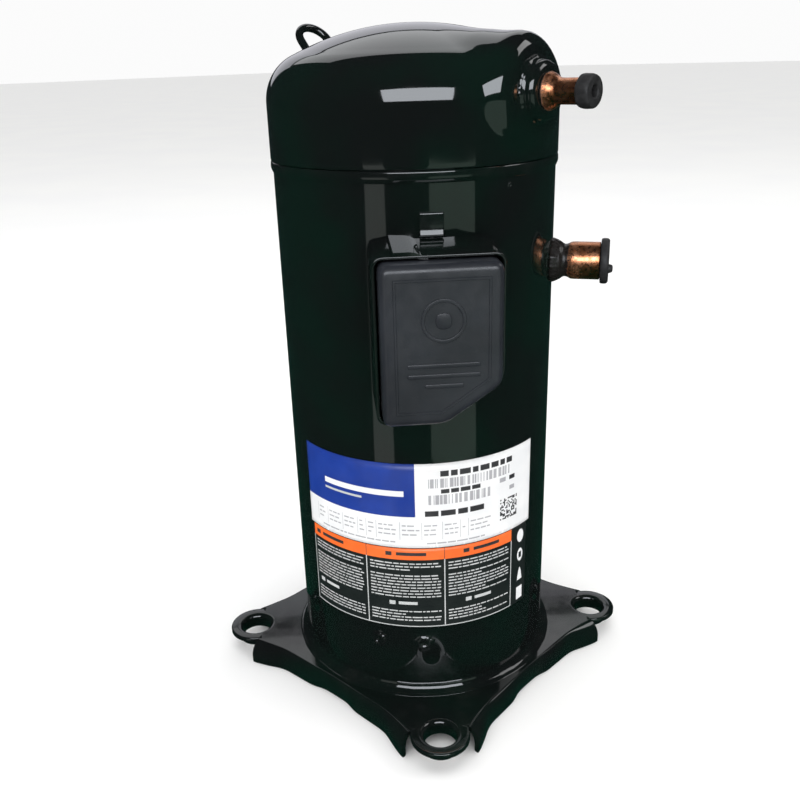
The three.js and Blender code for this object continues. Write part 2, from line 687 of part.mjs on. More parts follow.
function statorCore() {
  const outer = solid(rod(SHELL_IN_R - GAP, STACK_LOW_Z, STACK_HIGH_Z, FINE));
  let core = outer.subtract(solid(rod(STATOR_IN_R, 100, 230, MEDIUM)));
  for (let i = 0; i < STATOR_SLOTS; i += 1) {
    const slot = block(20, 6, 140, [66, 0, 162]).rotateZ(2 * Math.PI * i / STATOR_SLOTS);
    core = core.subtract(solid(slot));
  }
  for (let i = 0; i < 4; i += 1) {
    core = core.subtract(solid(block(8, 34, 140, [90, 0, 162]).rotateZ(Math.PI * i / 2)));
  }
  return core;
}

add('stator_core', statorCore(), LAMINATION());

// Ring of end turns, rounded in section.
function endTurns(low, high) {
  const mid = 67;
  const soft = 6;
  return turned([
    [mid - 14, low], [mid + 14, low], [mid + 14, high - soft], [mid + 9, high - 1], [mid - 8, high - 1],
    [mid - 13, high - soft],
  ]);
}

add('upper_winding', endTurns(STACK_HIGH_Z + GAP, 244), ENAMELLED_WIRE());
add('lower_winding', endTurns(0, 31).rotateX(Math.PI).translate(0, 0, STACK_LOW_Z - GAP), ENAMELLED_WIRE());

function lowerBearingBracket() {
  let body = solid(ring(13.3, 22, 50, 74));
  const reach = solid(rod(SHELL_IN_R - GAP, 40, 80, FINE));
  for (let i = 0; i < 4; i += 1) {
    const azimuth = -59 + 90 * i;
    const arm = solid(block(70, 18, 4, [53, 0, 60]));
    const tab = solid(block(6, 24, 20, [86, 0, 60]));
    body = body.add(arm.add(tab).intersect(reach).rotate([0, 0, azimuth]));
  }
  return body;
}

add('lower_bearing_bracket', lowerBearingBracket(), STEEL());
add('lower_bearing', ring(PIN_R + GAP, 13, 50.3, 73.7), BRONZE());

const PICKUP = [
  [PIN_R + GAP, 49.6], [11.5, 49.6], [11.5, 38], [6, 24], [2.4, 24], [2.4, 25.4], [5.2, 25.4],
  [PIN_R + GAP, 38.4],
];
add('oil_pickup', turned(PICKUP, COARSE), STEEL());

export default compressor;
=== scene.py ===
"""Hermetic scroll compressor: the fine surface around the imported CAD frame.

Lengths are millimetres until a mesh is made.
"""

import json
import math
import random

import bmesh
import bpy
import numpy as np
from mathutils import Matrix, Vector


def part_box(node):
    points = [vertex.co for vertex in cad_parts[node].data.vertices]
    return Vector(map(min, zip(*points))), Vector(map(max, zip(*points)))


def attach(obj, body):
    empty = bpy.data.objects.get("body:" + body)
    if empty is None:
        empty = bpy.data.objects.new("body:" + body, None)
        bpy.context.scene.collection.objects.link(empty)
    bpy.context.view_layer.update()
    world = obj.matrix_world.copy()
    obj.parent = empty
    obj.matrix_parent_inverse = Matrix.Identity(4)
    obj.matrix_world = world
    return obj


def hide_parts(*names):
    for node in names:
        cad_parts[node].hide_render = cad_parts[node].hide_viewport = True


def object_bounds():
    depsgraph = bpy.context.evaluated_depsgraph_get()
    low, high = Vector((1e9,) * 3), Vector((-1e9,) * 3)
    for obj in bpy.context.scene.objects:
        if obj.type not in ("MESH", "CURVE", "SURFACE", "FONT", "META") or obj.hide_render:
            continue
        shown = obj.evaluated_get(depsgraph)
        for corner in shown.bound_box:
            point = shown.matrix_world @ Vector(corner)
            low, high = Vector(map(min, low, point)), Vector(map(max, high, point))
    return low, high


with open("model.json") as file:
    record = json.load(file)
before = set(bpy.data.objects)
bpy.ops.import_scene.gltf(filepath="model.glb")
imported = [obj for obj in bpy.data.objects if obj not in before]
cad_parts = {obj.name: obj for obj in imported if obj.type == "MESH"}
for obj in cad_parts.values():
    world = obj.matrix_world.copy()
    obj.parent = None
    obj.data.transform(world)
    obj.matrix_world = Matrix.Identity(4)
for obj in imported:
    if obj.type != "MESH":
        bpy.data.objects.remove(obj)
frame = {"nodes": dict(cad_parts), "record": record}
cad_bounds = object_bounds()
random.seed(7)

MM = 0.001
ROUND = 160          # sides of the large rounds
PIPE = 64            # sides of the fittings


def cad_box(node):
    """Lowest and highest corner of a CAD node, in millimetres."""
    low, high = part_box(node)
    return low / MM, high / MM


SHELL_LOW, SHELL_HIGH = cad_box("centre_shell")
CAP_LOW = cad_box("top_cap")[0]
BASE_HIGH = cad_box("base_plate")[1]
BOSS_HIGH = cad_box("discharge_boss")[1]
STUB_LOW, STUB_HIGH = cad_box("discharge_stub")
PLUG_HIGH = cad_box("discharge_plug")[1]
SUCTION_LOW, SUCTION_HIGH = cad_box("suction_stub")

SHELL_R = SHELL_HIGH.x
SHEET = 3.5                       # steel of the shell, cap and base
CAP_R = 93.5
KNUCKLE_R = 30.5                  # round between the cap's wall and its crown
KNUCKLE_Z = 412.0
CROWN_R = 173.4
CAP_TOP = 457.0

PLATE_TOP = BASE_HIGH.z
PLATE_UNDER = PLATE_TOP - SHEET
EAR_R = 20.0                      # round end of a foot
EAR_EDGE = 0.9                    # how far its edge is rounded over
HOLE_HALF = BASE_HIGH.x - EAR_R   # from the middle to a foot hole, along X and Y
HOLE_R = 11.0
MOUTH_R = 14.6                    # where the plate turns down into a foot hole
DISH_RIM_R = 86.0                 # where the plate turns down into the sump dish
FEET = ((1, -1), (1, 1), (-1, 1), (-1, -1))

LOOP_AZIMUTH = 175.0
DISCHARGE_Z = (STUB_LOW.z + STUB_HIGH.z) / 2
SUCTION_Z = (SUCTION_LOW.z + SUCTION_HIGH.z) / 2
SUCTION_AZIMUTH = 28.0
BOX_AZIMUTH = -43.2               # the terminal box faces this way
BOX_RIM = 126.5
COVER_BACK = 120.0
COVER_FACE = 139.0


# ---------------------------------------------------------------- geometry helpers

def outward(azimuth, height=0.0):
    """Matrix on the shell's axis that turns local Z outwards at an azimuth, with local X down."""
    return Matrix.Translation((0, 0, height)) @ facing(azimuth) @ Matrix.Rotation(math.pi / 2, 4, "Y")


def facing(azimuth):
    """Matrix from (outward, across, up) to the row frame, at an azimuth."""
    return Matrix.Rotation(math.radians(azimuth), 4, "Z")


def arc(cx, cy, radius, start, end, steps):
    """Points of an arc, angles in degrees."""
    angles = np.radians(np.linspace(start, end, steps + 1))
    return [(cx + radius * math.cos(a), cy + radius * math.sin(a)) for a in angles]


def softened(points, radius, steps=4, closed=True):
    """A polyline with each corner replaced by an arc-like curve that starts radius away from it."""
    result = []
    count = len(points)
    for i, point in enumerate(points):
        if not closed and i in (0, count - 1):
            result.append(point)
            continue
        here = Vector(point)
        before = Vector(points[i - 1]) - here
        after = Vector(points[(i + 1) % count]) - here
        reach = min(radius, before.length * 0.48, after.length * 0.48)
        start = here + before.normalized() * reach
        end = here + after.normalized() * reach
        for step in range(steps + 1):
            t = step / steps
            result.append(tuple(start * (1 - t) ** 2 + here * 2 * t * (1 - t) + end * t ** 2))
    return result


def inset_polygon(corners, inset, radius, steps=5):
    """A counter-clockwise polygon moved inwards, with its corners rounded: the same count at every inset."""
    count = len(corners)
    lines = []
    for i in range(count):
        a, b = Vector(corners[i]), Vector(corners[(i + 1) % count])
        along = (b - a).normalized()
        lines.append((a + Vector((-along.y, along.x)) * inset, along))
    moved = []
    for i in range(count):
        (p, u), (q, v) = lines[i - 1], lines[i]
        cross = u.x * v.y - u.y * v.x
        t = ((q - p).x * v.y - (q - p).y * v.x) / cross
        moved.append(tuple(p + u * t))
    return softened(moved, max(radius - inset, 0.4), steps)


def finish_mesh(name, points, faces, materials, body="housing", replaces=(), sharp=40, inks=None):
    """Makes a piece from points in millimetres, smooth up to an angle, riding on a body."""
    mesh = bpy.data.meshes.new(name)
    mesh.from_pydata([Vector(p) * MM for p in points], [], faces)
    for material in materials if isinstance(materials, list) else [materials]:
        mesh.materials.append(material)
    if inks is not None:
        mesh.polygons.foreach_set("material_index", inks)
    shape = bmesh.new()
    shape.from_mesh(mesh)
    bmesh.ops.recalc_face_normals(shape, faces=shape.faces)
    shape.to_mesh(mesh)
    shape.free()
    mesh.shade_smooth()
    mesh.set_sharp_from_angle(angle=math.radians(sharp))
    piece = bpy.data.objects.new(name, mesh)
    bpy.context.scene.collection.objects.link(piece)
    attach(piece, body)
    if replaces:
        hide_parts(*replaces)
    return piece


class Build:
    """Collects closed islands of one piece."""

    def __init__(self):
        self.points = []
        self.faces = []

    def add(self, points, faces, matrix=None):
        """Adds one closed island, with its coincident points joined."""
        found = {}
        index = []
        for point in points:
            place = tuple(matrix @ Vector(point)) if matrix else tuple(point)
            key = tuple(round(value, 4) for value in place)
            if key not in found:
                found[key] = len(self.points)
                self.points.append(place)
            index.append(found[key])
        for face in faces:
            corners = [index[i] for i in face]
            corners = [c for i, c in enumerate(corners) if c != corners[i - 1]]
            if len(set(corners)) > 2:
                self.faces.append(corners)

    def lathe(self, profile, sides=PIPE, matrix=None, change=None):
        """Turns [radius, height] pairs about local Z. change(angle, radius, height) may move a point."""
        points = []
        for i in range(sides):
            angle = 2 * math.pi * i / sides
            for radius, height in profile:
                r, h = change(angle, radius, height) if change else (radius, height)
                points.append((r * math.cos(angle), r * math.sin(angle), h))
        count = len(profile)
        on_axis = profile[0][0] == 0 and profile[-1][0] == 0
        faces = []
        for i in range(sides):
            a, b = i * count, (i + 1) % sides * count
            for j in range(count - 1 if on_axis else count):
                k = (j + 1) % count
                faces.append([a + j, b + j, b + k, a + k])
        self.add(points, faces, matrix)

    def loft(self, rings, matrix=None, cap=True):
        """Joins rings of equal length: with cap the two ends are closed, else the last joins the first."""
        count = len(rings[0])
        points = [p for ring in rings for p in ring]
        faces = []
        last = len(rings) - 1 if cap else len(rings)
        for i in range(last):
            a, b = i * count, (i + 1) % len(rings) * count
            faces += [[a + j, a + (j + 1) % count, b + (j + 1) % count, b + j] for j in range(count)]
        if cap:
            faces.append(list(range(count))[::-1])
            faces.append([(len(rings) - 1) * count + j for j in range(count)])
        self.add(points, faces, matrix)

    def tube(self, path, radius, sides=20):
        """A round rod along a path, closed at both ends."""
        rings = []
        normal = None
        for i, point in enumerate(path):
            along = (path[min(i + 1, len(path) - 1)] - path[max(i - 1, 0)]).normalized()
            if normal is None:
                normal = along.orthogonal()
            normal = (normal - along * normal.dot(along)).normalized()
            side = along.cross(normal)
            turns = [2 * math.pi * j / sides for j in range(sides)]
            rings.append([point + radius * (normal * math.cos(a) + side * math.sin(a)) for a in turns])
        self.loft(rings)

    def piece(self, name, material, node, slot, sharp, body="housing"):
        """Makes the piece that stands for a CAD node."""
        finish_mesh(name, self.points, self.faces, material, body, [node], sharp)

    def painted(self, name, paint, node, sharp):
        self.piece(name, paint, node, "gloss_black_paint", sharp)


def ripple(angle, seed, amount):
    """A small repeatable unevenness round a weld."""
    waves = ((7, 1.0), (13, 0.8), (29, 0.7), (53, 0.5), (97, 0.35))
    return amount * sum(size * math.sin(n * angle + seed * (n % 5 + 1)) for n, size in waves) / 2


def weld_change(seed, amount):
    return lambda angle, r, h: (r + ripple(angle, seed, amount), h)


# ---------------------------------------------------------------- materials

class Nodes:
    """A small writer of shader nodes. Positions are in millimetres in the object's own space."""

    def __init__(self, name):
        self.material = bpy.data.materials.new(name)
        self.material.use_nodes = True
        self.tree = self.material.node_tree
        self.shader = self.tree.nodes["Principled BSDF"]
        coordinates = self.tree.nodes.new("ShaderNodeTexCoord")
        self.position = self.vector_math("SCALE", coordinates.outputs["Object"], scale=1 / MM)

    def link(self, source, target):
        if hasattr(source, "is_linked"):
            self.tree.links.new(source, target)
        else:
            target.default_value = source

    def vector_math(self, operation, a, b=None, scale=None):
        node = self.tree.nodes.new("ShaderNodeVectorMath")
        node.operation = operation
        self.link(a, node.inputs[0])
        if b is not None:
            self.link(b, node.inputs[1])
        if scale is not None:
            node.inputs["Scale"].default_value = scale
        return node.outputs["Value"] if operation == "DOT_PRODUCT" else node.outputs["Vector"]

    def math(self, operation, a, b=0.0, clamp=False):
        node = self.tree.nodes.new("ShaderNodeMath")
        node.operation = operation
        node.use_clamp = clamp
        self.link(a, node.inputs[0])
        self.link(b, node.inputs[1])
        return node.outputs[0]

    def noise(self, size, detail=3.0, roughness=0.55, stretch=None, seed=0.0):
        """Noise whose features are about size millimetres across."""
        node = self.tree.nodes.new("ShaderNodeTexNoise")
        node.noise_dimensions = "4D"
        where = self.position if stretch is None else self.vector_math("MULTIPLY", self.position, stretch)
        self.link(where, node.inputs["Vector"])
        node.inputs["W"].default_value = seed
        node.inputs["Scale"].default_value = 1 / size
        node.inputs["Detail"].default_value = detail
        node.inputs["Roughness"].default_value = roughness
        return node.outputs["Fac"]

    def cells(self, size, seed=0.0):
        node = self.tree.nodes.new("ShaderNodeTexVoronoi")
        node.voronoi_dimensions = "4D"
        self.link(self.position, node.inputs["Vector"])
        node.inputs["W"].default_value = seed
        node.inputs["Scale"].default_value = 1 / size
        return node.outputs["Distance"]

    def ramp(self, source, low, high, out_low=0.0, out_high=1.0):
        node = self.tree.nodes.new("ShaderNodeMapRange")
        node.interpolation_type = "SMOOTHSTEP"
        self.link(source, node.inputs["Value"])
        for name, value in (("From Min", low), ("From Max", high), ("To Min", out_low), ("To Max", out_high)):
            node.inputs[name].default_value = value
        return node.outputs["Result"]

    def blend(self, factor, a, b):
        node = self.tree.nodes.new("ShaderNodeMix")
        node.data_type = "RGBA"
        self.link(factor, node.inputs[0])
        self.link((*a, 1) if isinstance(a, tuple) else a, node.inputs[6])
        self.link((*b, 1) if isinstance(b, tuple) else b, node.inputs[7])
        return node.outputs[2]

    def along(self, direction):
        """Distance along a direction from the origin, in millimetres."""
        return self.vector_math("DOT_PRODUCT", self.position, direction)

    def bump(self, height, distance, strength=1.0, base=None):
        node = self.tree.nodes.new("ShaderNodeBump")
        node.inputs["Strength"].default_value = strength
        node.inputs["Distance"].default_value = distance * MM
        self.link(height, node.inputs["Height"])
        if base is not None:
            self.link(base, node.inputs["Normal"])
        return node.outputs["Normal"]

    def finish(self, color, roughness, metallic=0.0, normal=None, **constants):
        self.link((*color, 1) if isinstance(color, tuple) else color, self.shader.inputs["Base Color"])
        self.link(roughness, self.shader.inputs["Roughness"])
        self.link(metallic, self.shader.inputs["Metallic"])
        if normal is not None:
            self.link(normal, self.shader.inputs["Normal"])
        for name, value in constants.items():
            self.shader.inputs[name.replace("_", " ").title().replace("Ior", "IOR")].default_value = value
        return self.material


BLACK = (0.0045, 0.0055, 0.0055)
GREEN_BLACK = (0.003, 0.009, 0.0065)
BARE_STEEL = (0.42, 0.41, 0.38)


def gloss_paint(name, wear=0.66, roughness=0.055, dust=0.0, patch=None):
    """Thick gloss black enamel: a slow waviness, fine orange peel, and small chips down to steel."""
    n = Nodes(name)
    tone = n.blend(n.ramp(n.noise(60, 2), 0.35, 0.7), BLACK, GREEN_BLACK)
    grime = n.ramp(n.noise(22, 5, 0.65, seed=3), 0.5, 0.75, 0.0, dust)
    tone = n.blend(grime, tone, (0.05, 0.048, 0.045))
    worn_places = n.ramp(n.noise(34, 3, seed=8), wear, wear + 0.03)
    chips = n.math("MULTIPLY", n.ramp(n.cells(9, 2), 0.06, 0.03), worn_places)
    if patch is not None:
        centre, reach = patch
        offset = n.vector_math("SUBTRACT", n.position, centre)
        length = n.tree.nodes.new("ShaderNodeVectorMath")
        length.operation = "LENGTH"
        n.link(offset, length.inputs[0])
        ragged = n.math("ADD", length.outputs["Value"], n.math("MULTIPLY", n.noise(3.5, 4, seed=5), 9.0))
        chips = n.math("MAXIMUM", chips, n.ramp(ragged, reach + 0.8, reach))
    color = n.blend(chips, tone, BARE_STEEL)
    haze = n.ramp(n.noise(14, 4, seed=1), 0.4, 0.8, roughness, roughness + 0.05 + dust)
    rough = n.math("ADD", haze, n.math("MULTIPLY", chips, 0.3))
    wavy = n.bump(n.noise(30, 1, seed=4), 0.25, 0.35)
    peel = n.bump(n.noise(2.6, 1, seed=6), 0.006, 0.4, wavy)
    return n.finish(color, rough, n.math("MULTIPLY", chips, 0.9), peel, coat_weight=0.5, coat_roughness=0.03)


def copper(name, direction, bare_from, fade):
    """Drawn copper tube, oversprayed with black up to a ragged edge."""
    n = Nodes(name)
    warm = n.blend(n.ramp(n.noise(5, 4), 0.35, 0.7), (0.50, 0.19, 0.085), (0.78, 0.36, 0.20))
    warm = n.blend(n.ramp(n.noise(1.1, 3, seed=2), 0.58, 0.72, 0.0, 0.5), warm, (0.24, 0.09, 0.05))
    edge = n.math("ADD", n.along(direction), n.math("MULTIPLY", n.noise(3.2, 4, 0.7, seed=4), fade))
    painted = n.ramp(edge, bare_from + fade / 2 + 0.5, bare_from + fade / 2 - 0.5)
    mist = n.ramp(n.noise(0.7, 2, seed=9), 0.52, 0.6)
    misty = n.math("MULTIPLY", mist, n.ramp(n.along(direction), bare_from + 2 * fade, bare_from))
    painted = n.math("MAXIMUM", painted, misty)
    color = n.blend(painted, warm, (0.012, 0.010, 0.009))
    rough = n.ramp(n.noise(2.2, 4, seed=7), 0.3, 0.75, 0.22, 0.42)
    metallic = n.math("SUBTRACT", 1.0, painted)
    scratch = n.bump(n.noise(1.2, 3, stretch=(0.4, 3.0, 3.0)), 0.04, 0.4)
    return n.finish(color, rough, metallic, scratch)


def rubber(name):
    n = Nodes(name)
    color = n.blend(n.ramp(n.noise(6, 5, 0.7), 0.35, 0.75), (0.010, 0.010, 0.011), (0.026, 0.026, 0.027))
    rough = n.ramp(n.noise(3, 3, seed=2), 0.3, 0.7, 0.5, 0.72)
    return n.finish(color, rough, 0.0, n.bump(n.noise(0.6, 3), 0.05, 0.6))


def moulding(name):
    """Satin moulded plastic with a fine spark-eroded texture and faint handling marks."""
    n = Nodes(name)
    color = n.blend(n.ramp(n.noise(40, 3), 0.35, 0.7), (0.014, 0.016, 0.021), (0.021, 0.024, 0.031))
    marks = n.ramp(n.noise(9, 6, 0.7, stretch=(1, 1, 2.5), seed=3), 0.62, 0.75, 0.0, 0.35)
    color = n.blend(marks, color, (0.045, 0.05, 0.06))
    rough = n.ramp(n.noise(7, 3, seed=5), 0.3, 0.7, 0.3, 0.42)
    grain = n.bump(n.noise(0.45, 2, seed=6), 0.035, 0.7)
    return n.finish(color, rough, 0.0, grain, coat_weight=0.15, coat_roughness=0.25)


def ink(name, color, other):
    """One printed colour of a film label, slightly uneven, under a thin clear film."""
    n = Nodes(name)
    tone = n.blend(n.ramp(n.noise(18, 4), 0.35, 0.75), color, other)
    scuffs = n.ramp(n.noise(4, 5, 0.7, stretch=(1, 1, 4), seed=4), 0.68, 0.8, 0.0, 0.12)
    tone = n.blend(scuffs, tone, (0.4, 0.4, 0.4))
    rough = n.ramp(n.noise(11, 3, seed=2), 0.3, 0.7, 0.28, 0.4)
    return n.finish(tone, rough, 0.0, n.bump(n.noise(20, 2), 0.08, 0.3))


def machined(name, color, darker, size, roughness, metallic=1.0, stretch=None, depth=0.03):
    """Turned, ground or cast metal: tone variation, tool marks and uneven roughness."""
    n = Nodes(name)
    tone = n.blend(n.ramp(n.noise(size * 8, 4), 0.35, 0.7), color, darker)
    rough = n.ramp(n.noise(size * 3, 4, seed=2), 0.3, 0.7, roughness - 0.08, roughness + 0.1)
    marks = n.bump(n.noise(size, 3, stretch=stretch, seed=3), depth, 0.6)
    return n.finish(tone, rough, metallic, marks)


def direction(azimuth):
    return (math.cos(math.radians(azimuth)), math.sin(math.radians(azimuth)), 0.0)


def on_wall(azimuth, radius, height):
    x, y, _ = direction(azimuth)
    return (radius * x, radius * y, height)


chip_on_fence = tuple(facing(BOX_AZIMUTH) @ Vector((BOX_RIM - 1, -37.0, 261.0)))
SHELL_PAINT = gloss_paint("shell_paint", 0.70)
CAP_PAINT = gloss_paint("cap_paint", 0.60, 0.05)
BASE_PAINT = gloss_paint("base_paint", 0.66, 0.08, dust=0.1)
TRIM_PAINT = gloss_paint("trim_paint", 0.62, 0.08, dust=0.08)
FENCE_PAINT = gloss_paint("fence_paint", 0.64, 0.07, patch=(chip_on_fence, 3.0))
DISCHARGE_COPPER = copper("discharge_copper", direction(0), 104.2, 2.4)
SUCTION_COPPER = copper("suction_copper", direction(SUCTION_AZIMUTH), 103.5, 5.0)
RUBBER = rubber("black_rubber_surface")
COVER_PLASTIC = moulding("cover_moulding")
WHITE_INK = ink("white_ink", (0.78, 0.79, 0.80), (0.86, 0.86, 0.86))
BLUE_INK = ink("blue_ink", (0.006, 0.035, 0.27), (0.008, 0.045, 0.33))
GREY_INK = ink("grey_ink", (0.36, 0.36, 0.38), (0.44, 0.44, 0.46))
DARK_INK = ink("dark_ink", (0.03, 0.031, 0.034), (0.05, 0.05, 0.053))
ORANGE_INK = ink("orange_ink", (0.87, 0.13, 0.012), (0.93, 0.17, 0.02))
PANEL_INK = ink("panel_ink", (0.010, 0.014, 0.014), (0.014, 0.019, 0.018))
PALE_INK = ink("pale_ink", (0.50, 0.52, 0.52), (0.62, 0.63, 0.63))


# ---------------------------------------------------------------- base stamping

# Each is [along the flank, value] from the flank's middle to its end. Distances are from the base's middle.
SKIRT_END = 78.0
BEND_START = [(0, 100.6), (45, 101), (57, 102), (70, 103.4), (77, 105), (SKIRT_END, 106)]
SKIRT_FOOT = [
    (0, 100.4), (12, 100.6), (22, 103.6), (50, 104.6), (56, 106), (65, 110), (76, 114), (SKIRT_END, 114.6),
]
SKIRT_WAIST = [
    (0, 102.4), (12, 102.5), (22, 103.8), (50, 104.8), (56, 106.2), (65, 110), (76, 114), (SKIRT_END, 114.8),
]
BEND_DROP = [(0, 5), (45, 6), (60, 9), (76, 12), (SKIRT_END, 12.5)]
FOOT_CHAMFER = 0.7
EAR_ROOT = 105.2      # how far out a flank is where it meets the ear


def smooth_curve(at, pairs, reach=4.0):
    """A line through [along, value] pairs, mirrored about 0 and softened over reach."""
    along, values = zip(*pairs)
    offsets = np.linspace(-reach, reach, 9)
    samples = np.interp(np.abs(np.asarray(at)[:, None] + offsets), along, values)
    return samples.mean(axis=1)


def skirt(build, turn):
    """One flank's rolled edge: flat at the plate, a quarter round, then down to the floor, with free ends."""
    stations = np.linspace(-SKIRT_END, SKIRT_END, 141)
    start = smooth_curve(stations, BEND_START)
    foot = smooth_curve(stations, SKIRT_FOOT)
    waist = smooth_curve(stations, SKIRT_WAIST)
    drop = smooth_curve(stations, BEND_DROP)
    rings = []
    for i, along in enumerate(stations):
        outer = []
        for angle in np.radians(np.linspace(0, 90, 11)):
            out = start[i] + (waist[i] - start[i]) * math.sin(angle)
            outer.append((out, PLATE_TOP - drop[i] * (1 - math.cos(angle))))
        outer.append((foot[i], FOOT_CHAMFER))
        outer.append((foot[i] - FOOT_CHAMFER, 0.0))
        inner = [(foot[i] - SHEET + FOOT_CHAMFER, 0.0), (foot[i] - SHEET, FOOT_CHAMFER)]
        for angle in np.radians(np.linspace(90, 0, 11)):
            reach = max(waist[i] - SHEET - start[i], 0.0)
            out = min(start[i], waist[i] - SHEET) + reach * math.sin(angle)
            inner.append((out, PLATE_UNDER - max(drop[i] - SHEET, 0.5) * (1 - math.cos(angle))))
        rings.append([(along, -out, z) for out, z in outer + inner])
    build.loft(rings, Matrix.Rotation(turn * math.pi / 2, 4, "Z"))


def plate_outline():
    """Edge of the flat top: four flanks that run smoothly into the round ears.

    Gives [x, y, how far the edge is rounded over].
    """
    reach = math.sqrt(EAR_R ** 2 - (EAR_ROOT - HOLE_HALF) ** 2)
    meets = HOLE_HALF - reach
    stations = np.linspace(-meets, meets, 81)
    flank = list(zip(stations, -smooth_curve(stations, BEND_START)))
    swing = math.degrees(math.acos(reach / EAR_R))
    ear = arc(HOLE_HALF, -HOLE_HALF, EAR_R, 180 + swing, 450 - swing, 48)[1:-1]
    side = [(x, y, 0.0) for x, y in flank] + [(x, y, EAR_EDGE) for x, y in ear]
    loop = []
    for turn in range(4):
        spin = Matrix.Rotation(turn * math.pi / 2, 4, "Z")
        loop += [(*(spin @ Vector((x, y, 0))).xy, edge) for x, y, edge in side]
    places = np.array([p[:2] for p in loop])
    near_ear = np.array([(i % len(side)) not in range(6, len(flank) - 6) for i in range(len(loop))])
    for _ in range(4):
        evened = (np.roll(places, 1, axis=0) + 2 * places + np.roll(places, -1, axis=0)) / 4
        places[near_ear] = evened[near_ear]
    return [(x, y, p[2]) for (x, y), p in zip(places, loop)]


def flat_plate(build):
    """The flat of the stamping, with its dished middle and the four foot holes cut out."""
    loop = plate_outline()
    count = len(loop)
    center = [Vector(p[:2]) for p in loop]
    rings = []
    for share, z_in in ((1.0, 0.0), (0.3, 0.3), (0.0, 1.0)):
        ring = []
        for i, (_, _, edge) in enumerate(loop):
            along = (center[(i + 1) % count] - center[i - 1]).normalized()
            inwards = Vector((-along.y, along.x)) * edge * share
            ring.append((*(center[i] + inwards), PLATE_TOP - edge * z_in))
        rings.append(ring)
    rings.append([(*p, PLATE_UNDER) for p in center])
    shape = bmesh.new()
    layers = [[shape.verts.new(p) for p in ring] for ring in rings]
    for upper, lower in zip(layers, layers[1:]):
        for i in range(count):
            quad = [upper[i], upper[(i + 1) % count], lower[(i + 1) % count], lower[i]]
            shape.faces.new(quad)
    circles = [((0.0, 0.0), DISH_RIM_R, ROUND)]
    circles += [((x * HOLE_HALF, y * HOLE_HALF), MOUTH_R, PIPE) for x, y in FEET]
    walls = []
    for (cx, cy), radius, sides in circles:
        turns = [2 * math.pi * i / sides for i in range(sides)]
        points = [(cx + radius * math.cos(a), cy + radius * math.sin(a)) for a in turns]
        walls.append([[shape.verts.new((*p, z)) for p in points] for z in (PLATE_TOP, PLATE_UNDER)])
    for upper, lower in walls:
        for i in range(len(upper)):
            j = (i + 1) % len(upper)
            shape.faces.new([upper[i], upper[j], lower[j], lower[i]])
    for level, layer in ((0, layers[0]), (1, layers[-1])):
        edges = []
        for chain in [layer] + [wall[level] for wall in walls]:
            for i in range(len(chain)):
                pair = (chain[i], chain[(i + 1) % len(chain)])
                edges.append(shape.edges.get(pair) or shape.edges.new(pair))
        bmesh.ops.triangle_fill(shape, edges=edges, use_beauty=True, normal=(0, 0, 1))
    shape.verts.index_update()
    points = [tuple(v.co) for v in shape.verts]
    faces = [[v.index for v in f.verts] for f in shape.faces]
    shape.free()
    build.add(points, faces)


def base_stamping():
    """The whole base: flat plate, rolled skirts, sump dish and the drawn collars of the four foot holes."""
    build = Build()
    flat_plate(build)
    for turn in range(4):
        skirt(build, turn)
    dish_floor = 8.0
    dish_under = dish_floor - SHEET
    sump = [(0, dish_under), (79.2, dish_under), (84.2, PLATE_UNDER), (DISH_RIM_R, PLATE_UNDER)]
    bowl = [(DISH_RIM_R, PLATE_TOP), (82, PLATE_TOP), (77, dish_floor), (0, dish_floor)]
    build.lathe(softened(sump, 3, 4, closed=False) + softened(bowl, 4, 5, closed=False), ROUND)
    bend = MOUTH_R - HOLE_R
    mouth = arc(MOUTH_R, PLATE_TOP - bend, bend, 90, 180, 8)
    collar = mouth + [(HOLE_R, 7.6), (HOLE_R + 0.6, 7), (13, 7), (13.6, 7.6), (13.6, 11.6)]
    collar += arc(16.6, 11.6, 3, 180, 90, 5)[1:] + [(16.6, PLATE_UNDER), (MOUTH_R, PLATE_UNDER)]
    for x, y in FEET:
        build.lathe(collar, PIPE, Matrix.Translation((x * HOLE_HALF, y * HOLE_HALF, 0)))
    build.painted("base_stamping", BASE_PAINT, "base_plate", 48)


base_stamping()


# ---------------------------------------------------------------- shell, cap and their welds

# Azimuth, height and radius of each plug weld.
PLUG_WELDS = [(-115, 302, 7), (-21.8, 308.5, 6), (-49, 58.7, 8.5), (-69.2, 59.2, 8), (-11.8, 365.6, 2.5)]

# The pad pushed out under the discharge fitting.
PAD_FACE = 94.2
PAD_EDGE = 12.0       # round of its rim
PAD_R = 33.0
PAD_TAPER = 8.0       # inwards of PAD_TAPER_X it narrows by 1 in this
PAD_TAPER_X = 60
PAD_BLEND = 11.0      # how far it blends into the cap
PAD_REACH_X = 20      # the cap is plain behind this


def shell_piece():
    """The rolled tube with its plug welds."""
    build = Build()
    low, high = SHELL_LOW.z, CAP_LOW.z - 2.5
    inner = SHELL_R - SHEET
    outer = [(SHELL_R, low + (high - low) * i / 24) for i in range(25)]
    build.lathe([(inner, low), *outer, (inner, high)], ROUND)
    for azimuth, height, radius in PLUG_WELDS:
        plug_weld(build, azimuth, height, radius)
    build.painted("shell_tube", SHELL_PAINT, "centre_shell", 40)


